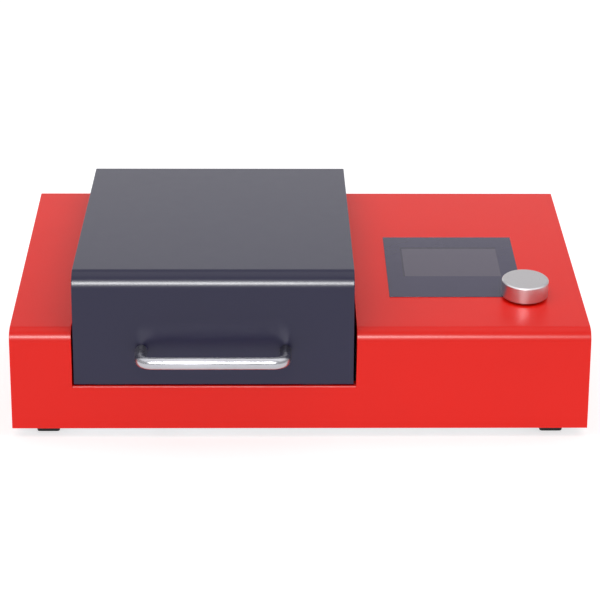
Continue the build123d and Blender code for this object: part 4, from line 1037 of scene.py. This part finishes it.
class CURINGUNIT_OT_fan(Operator):
    """Shape the fan's blades and wire guard, and finish its frame"""

    bl_idname = "curing_unit.fan"
    bl_label = "Fan"

    def execute(self, context):
        chosen = context.scene.curing_unit
        refined("fan_frame", "black_plastic", chosen.fine_edge)
        low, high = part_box("fan_rotor")
        axis = pivot("fan_spin")
        centre = Vector((axis.x, (low.y + high.y) / 2, axis.z))
        half = (high.y - low.y) / 2
        hub, bore, bore_end = 0.016, 0.00206, -0.00035
        chamfer, rim, dish = 0.0006, 0.0032, 0.0003
        rounding = ((0, 0.0014), (0.0004, 0.0005), (0.0013, 0))
        profile = [
            (0, bore_end), (bore, bore_end), (bore, -half), (hub - chamfer, -half),
            (hub, -half + chamfer), *((hub - inwards, half - below) for inwards, below in rounding),
            (hub - rim, half), (hub - rim - dish, half - dish), (0, half - dish),
        ]
        turned = sharpen(lathed("fan_hub", profile, centre, backwards, steps=72), angle=30)
        sunk, chord, thickness, camber = 0.001, (0.019, 0.0235), 0.0016, 0.09
        lean = math.radians(42)
        vanes = blades("fan_blades", centre, chosen.blade_count, (hub - sunk, high.x - axis.x),
                       chord, thickness, (lean, lean + chosen.blade_twist), camber)
        for part in (turned, vanes):
            finish(part, "black_plastic")
        stand_in(joined("fan_rotor_moulded", [turned, vanes]), "black_plastic", "fan_rotor")
        stand_in(fan_guard(axis, chosen.guard_rings), "stainless", "fan_guard")
        return {"FINISHED"}


class CURINGUNIT_OT_inlet(Operator):
    """Finish the power inlet: its body, contacts, rocker and fuse drawer"""

    bl_idname = "curing_unit.inlet"
    bl_label = "Power Inlet"

    def execute(self, context):
        fine = context.scene.curing_unit.fine_edge
        refined("inlet_body", "black_plastic", moulded_edge)
        refined("inlet_contacts", "contact_brass", fine)
        rocker = rounded_copy("power_rocker", moulded_edge)
        finish(rocker, "gloss_black")
        lean = math.radians(8)
        dish = math.atan2(2.8, 9.6)  # Slope of each half of its hollow face
        rise, run, relief, arc_steps = 0.003, 0.0042, 0.00005, 6
        half, tall, ring_inner, ring_outer = 0.00045, 0.0019, 0.0015, 0.0023
        across = Vector((math.cos(lean), math.sin(lean), 0))
        outwards = Vector((-math.sin(lean), math.cos(lean), 0))
        faces = []
        for side in (1, -1):
            along = across * side * math.cos(dish) + outwards * math.sin(dish)
            normal = outwards * math.cos(dish) - across * side * math.sin(dish)
            faces.append((pivot("rocker_tilt") + outwards * rise + along * run, along, normal))
        place, along, normal = faces[0]
        turns = [math.pi * i / arc_steps for i in range(arc_steps + 1)]
        outline = [(half * math.cos(start + turn), end * tall + half * math.sin(start + turn))
                   for end, start in ((1, 0), (-1, math.pi)) for turn in turns]
        bar = plate("rocker_bar", outline, place, along, normal.cross(along), relief)
        place, along, normal = faces[1]
        section = [(ring_outer, -relief), (ring_outer, relief), (ring_inner, relief),
                   (ring_inner, -relief)]
        ring = turned_ring("rocker_ring", section, place, normal)
        for mark in (bar, ring):
            finish(mark, "white_mark")
        stand_in(joined("power_rocker_marked", [rocker, bar, ring]), "gloss_black", "power_rocker")
        refined("fuse_drawer", "black_plastic", fine)
        return {"FINISHED"}


class CURINGUNIT_OT_electronics(Operator):
    """Finish the power supply, its terminals and both boards"""

    bl_idname = "curing_unit.electronics"
    bl_label = "Electronics"

    def execute(self, context):
        fine = context.scene.curing_unit.fine_edge
        refined("power_supply", "perforated_case", fine)
        refined("supply_terminals", "black_plastic", fine)
        for name in ("control_board", "driver_board"):
            refined(name, "circuit_board", thin_edge)
        return {"FINISHED"}


class CURINGUNIT_OT_screws(Operator):
    """Put socketed heads on every group of screws"""

    bl_idname = "curing_unit.screws"
    bl_label = "Screws"

    def execute(self, context):
        share = context.scene.curing_unit.socket_share
        below = Vector((0, 0, -1))
        rows = (
            ("zinc_screw", backwards, ("rear_panel",)),
            ("zinc_screw", below, ("base", "rail")),
            ("zinc_screw", backwards, ("hinge_fixed", "hinge_hood", "handle")),
            ("black_screw", backwards, ("fan", "inlet")),
        )
        for material, up, places in rows:
            for place in places:
                name = f"{place}_screws"
                stand_in(screw_heads(name, material, up, share), material, name)
        return {"FINISHED"}


class CURINGUNIT_OT_remainder(Operator):
    """Give every CAD node that is still shown its procedural finish"""

    bl_idname = "curing_unit.remainder"
    bl_label = "Remaining Nodes"

    def execute(self, context):
        slots = {row["node"]: row["material_slot"] for row in frame["record"]["subparts"]}
        for name, node in frame["nodes"].items():
            finish(node, slots[name])
        return {"FINISHED"}


class CURINGUNIT_OT_stage(Operator):
    """Set out the pale floor, the soft lights and the camera"""

    bl_idname = "curing_unit.stage"
    bl_label = "Stage"

    def execute(self, context):
        scene = context.scene
        reach, glow = 9.0, 0.62
        mesh = bpy.data.meshes.new("studio_floor")
        corners = [(x * reach, y * reach, 0) for x, y in ((-1, -1), (1, -1), (1, 1), (-1, 1))]
        mesh.from_pydata(corners, [], [(0, 1, 2, 3)])
        floor = linked("studio_floor", mesh)
        studio_paper("pale_floor", rgb(205, 205, 205), glow)
        finish(floor, "pale_floor")
        # Place, size in metres and power in watts of each light
        lights = {
            "back_panel": ((0, 2.26, 0.92), (3.8, 1.02), 6.1),
            "overhead_softbox": ((0, 0.1, 2.5), (2.4, 2.0), 13),
            "left_softbox": ((-1.52, -0.27, 1.94), (2.0, 1.2), 5),
            "right_softbox": ((1.52, -0.27, 1.94), (2.0, 1.2), 6),
            "edge_strip": ((-0.18, -2.05, 1.34), (1.1, 0.25), 70),
        }
        aim = Vector((0, 0, 0.1))
        for name, (place, size, power) in lights.items():
            lamp = bpy.data.lights.new(name, "AREA")
            lamp.shape = "RECTANGLE"
            lamp.size, lamp.size_y = size
            lamp.energy = power
            light = linked(name, lamp)
            light.location = place
            light.rotation_euler = (aim - Vector(place)).to_track_quat("-Z", "Y").to_euler()
            light.visible_camera = False
            light.visible_diffuse = name != "edge_strip"
        world = bpy.data.worlds.new("studio_air")
        world.use_nodes = True
        fill(world.node_tree, world.node_tree.nodes["Background"], {
            "Color": (1, 1, 1, 1), "Strength": 0.55})
        scene.world = world
        data = bpy.data.cameras.new("studio_camera")
        data.lens = scene.curing_unit.lens_length
        data.sensor_width = 36
        data.dof.use_dof = False
        camera = linked("studio_camera", data)
        stand = Vector((-0.0275, -1.80168, 0.66971))
        down, side, roll = (math.radians(angle) for angle in (18.131, 0.914, 0.277))
        ahead = Vector((math.sin(side) * math.cos(down), math.cos(side) * math.cos(down),
                        -math.sin(down)))
        right = Vector((math.cos(side), -math.sin(side), 0))
        above = right.cross(ahead)
        x_axis = right * math.cos(roll) + above * math.sin(roll)
        y_axis = above * math.cos(roll) - right * math.sin(roll)
        turn = Matrix((x_axis, y_axis, -ahead)).transposed().to_4x4()
        camera.matrix_world = Matrix.Translation(stand) @ turn
        scene.camera = camera
        scene.view_settings.view_transform = "Standard"
        return {"FINISHED"}


class CURINGUNIT_PT_sidebar(Panel):
    """Lists the unit's settings and its pieces"""

    bl_idname = "CURINGUNIT_PT_sidebar"
    bl_label = "Curing Unit"
    bl_space_type = "VIEW_3D"
    bl_region_type = "UI"
    bl_category = "Curing Unit"

    def draw(self, context):
        for label in CuringUnitSettings.__annotations__:
            self.layout.prop(context.scene.curing_unit, label)
        for operator in operators:
            self.layout.operator(operator.bl_idname)


operators = (
    CURINGUNIT_OT_finishes,
    CURINGUNIT_OT_housing,
    CURINGUNIT_OT_feet,
    CURINGUNIT_OT_hood,
    CURINGUNIT_OT_handle,
    CURINGUNIT_OT_hinge,
    CURINGUNIT_OT_chamber,
    CURINGUNIT_OT_lamps,
    CURINGUNIT_OT_display,
    CURINGUNIT_OT_dial,
    CURINGUNIT_OT_fan,
    CURINGUNIT_OT_inlet,
    CURINGUNIT_OT_electronics,
    CURINGUNIT_OT_screws,
    CURINGUNIT_OT_remainder,
    CURINGUNIT_OT_stage,
)
classes = (CuringUnitSettings, *operators, CURINGUNIT_PT_sidebar)


def register():
    for entry in classes:
        bpy.utils.register_class(entry)
    bpy.types.Scene.curing_unit = PointerProperty(type=CuringUnitSettings)


def unregister():
    del bpy.types.Scene.curing_unit
    for entry in reversed(classes):
        bpy.utils.unregister_class(entry)


def main():
    register()
    screw_head_tree()
    diode_tree()
    wire_tree()
    for operator in operators:
        group, call = operator.bl_idname.split(".")
        getattr(getattr(bpy.ops, group), call)()


if __name__ == "__main__":
    main()
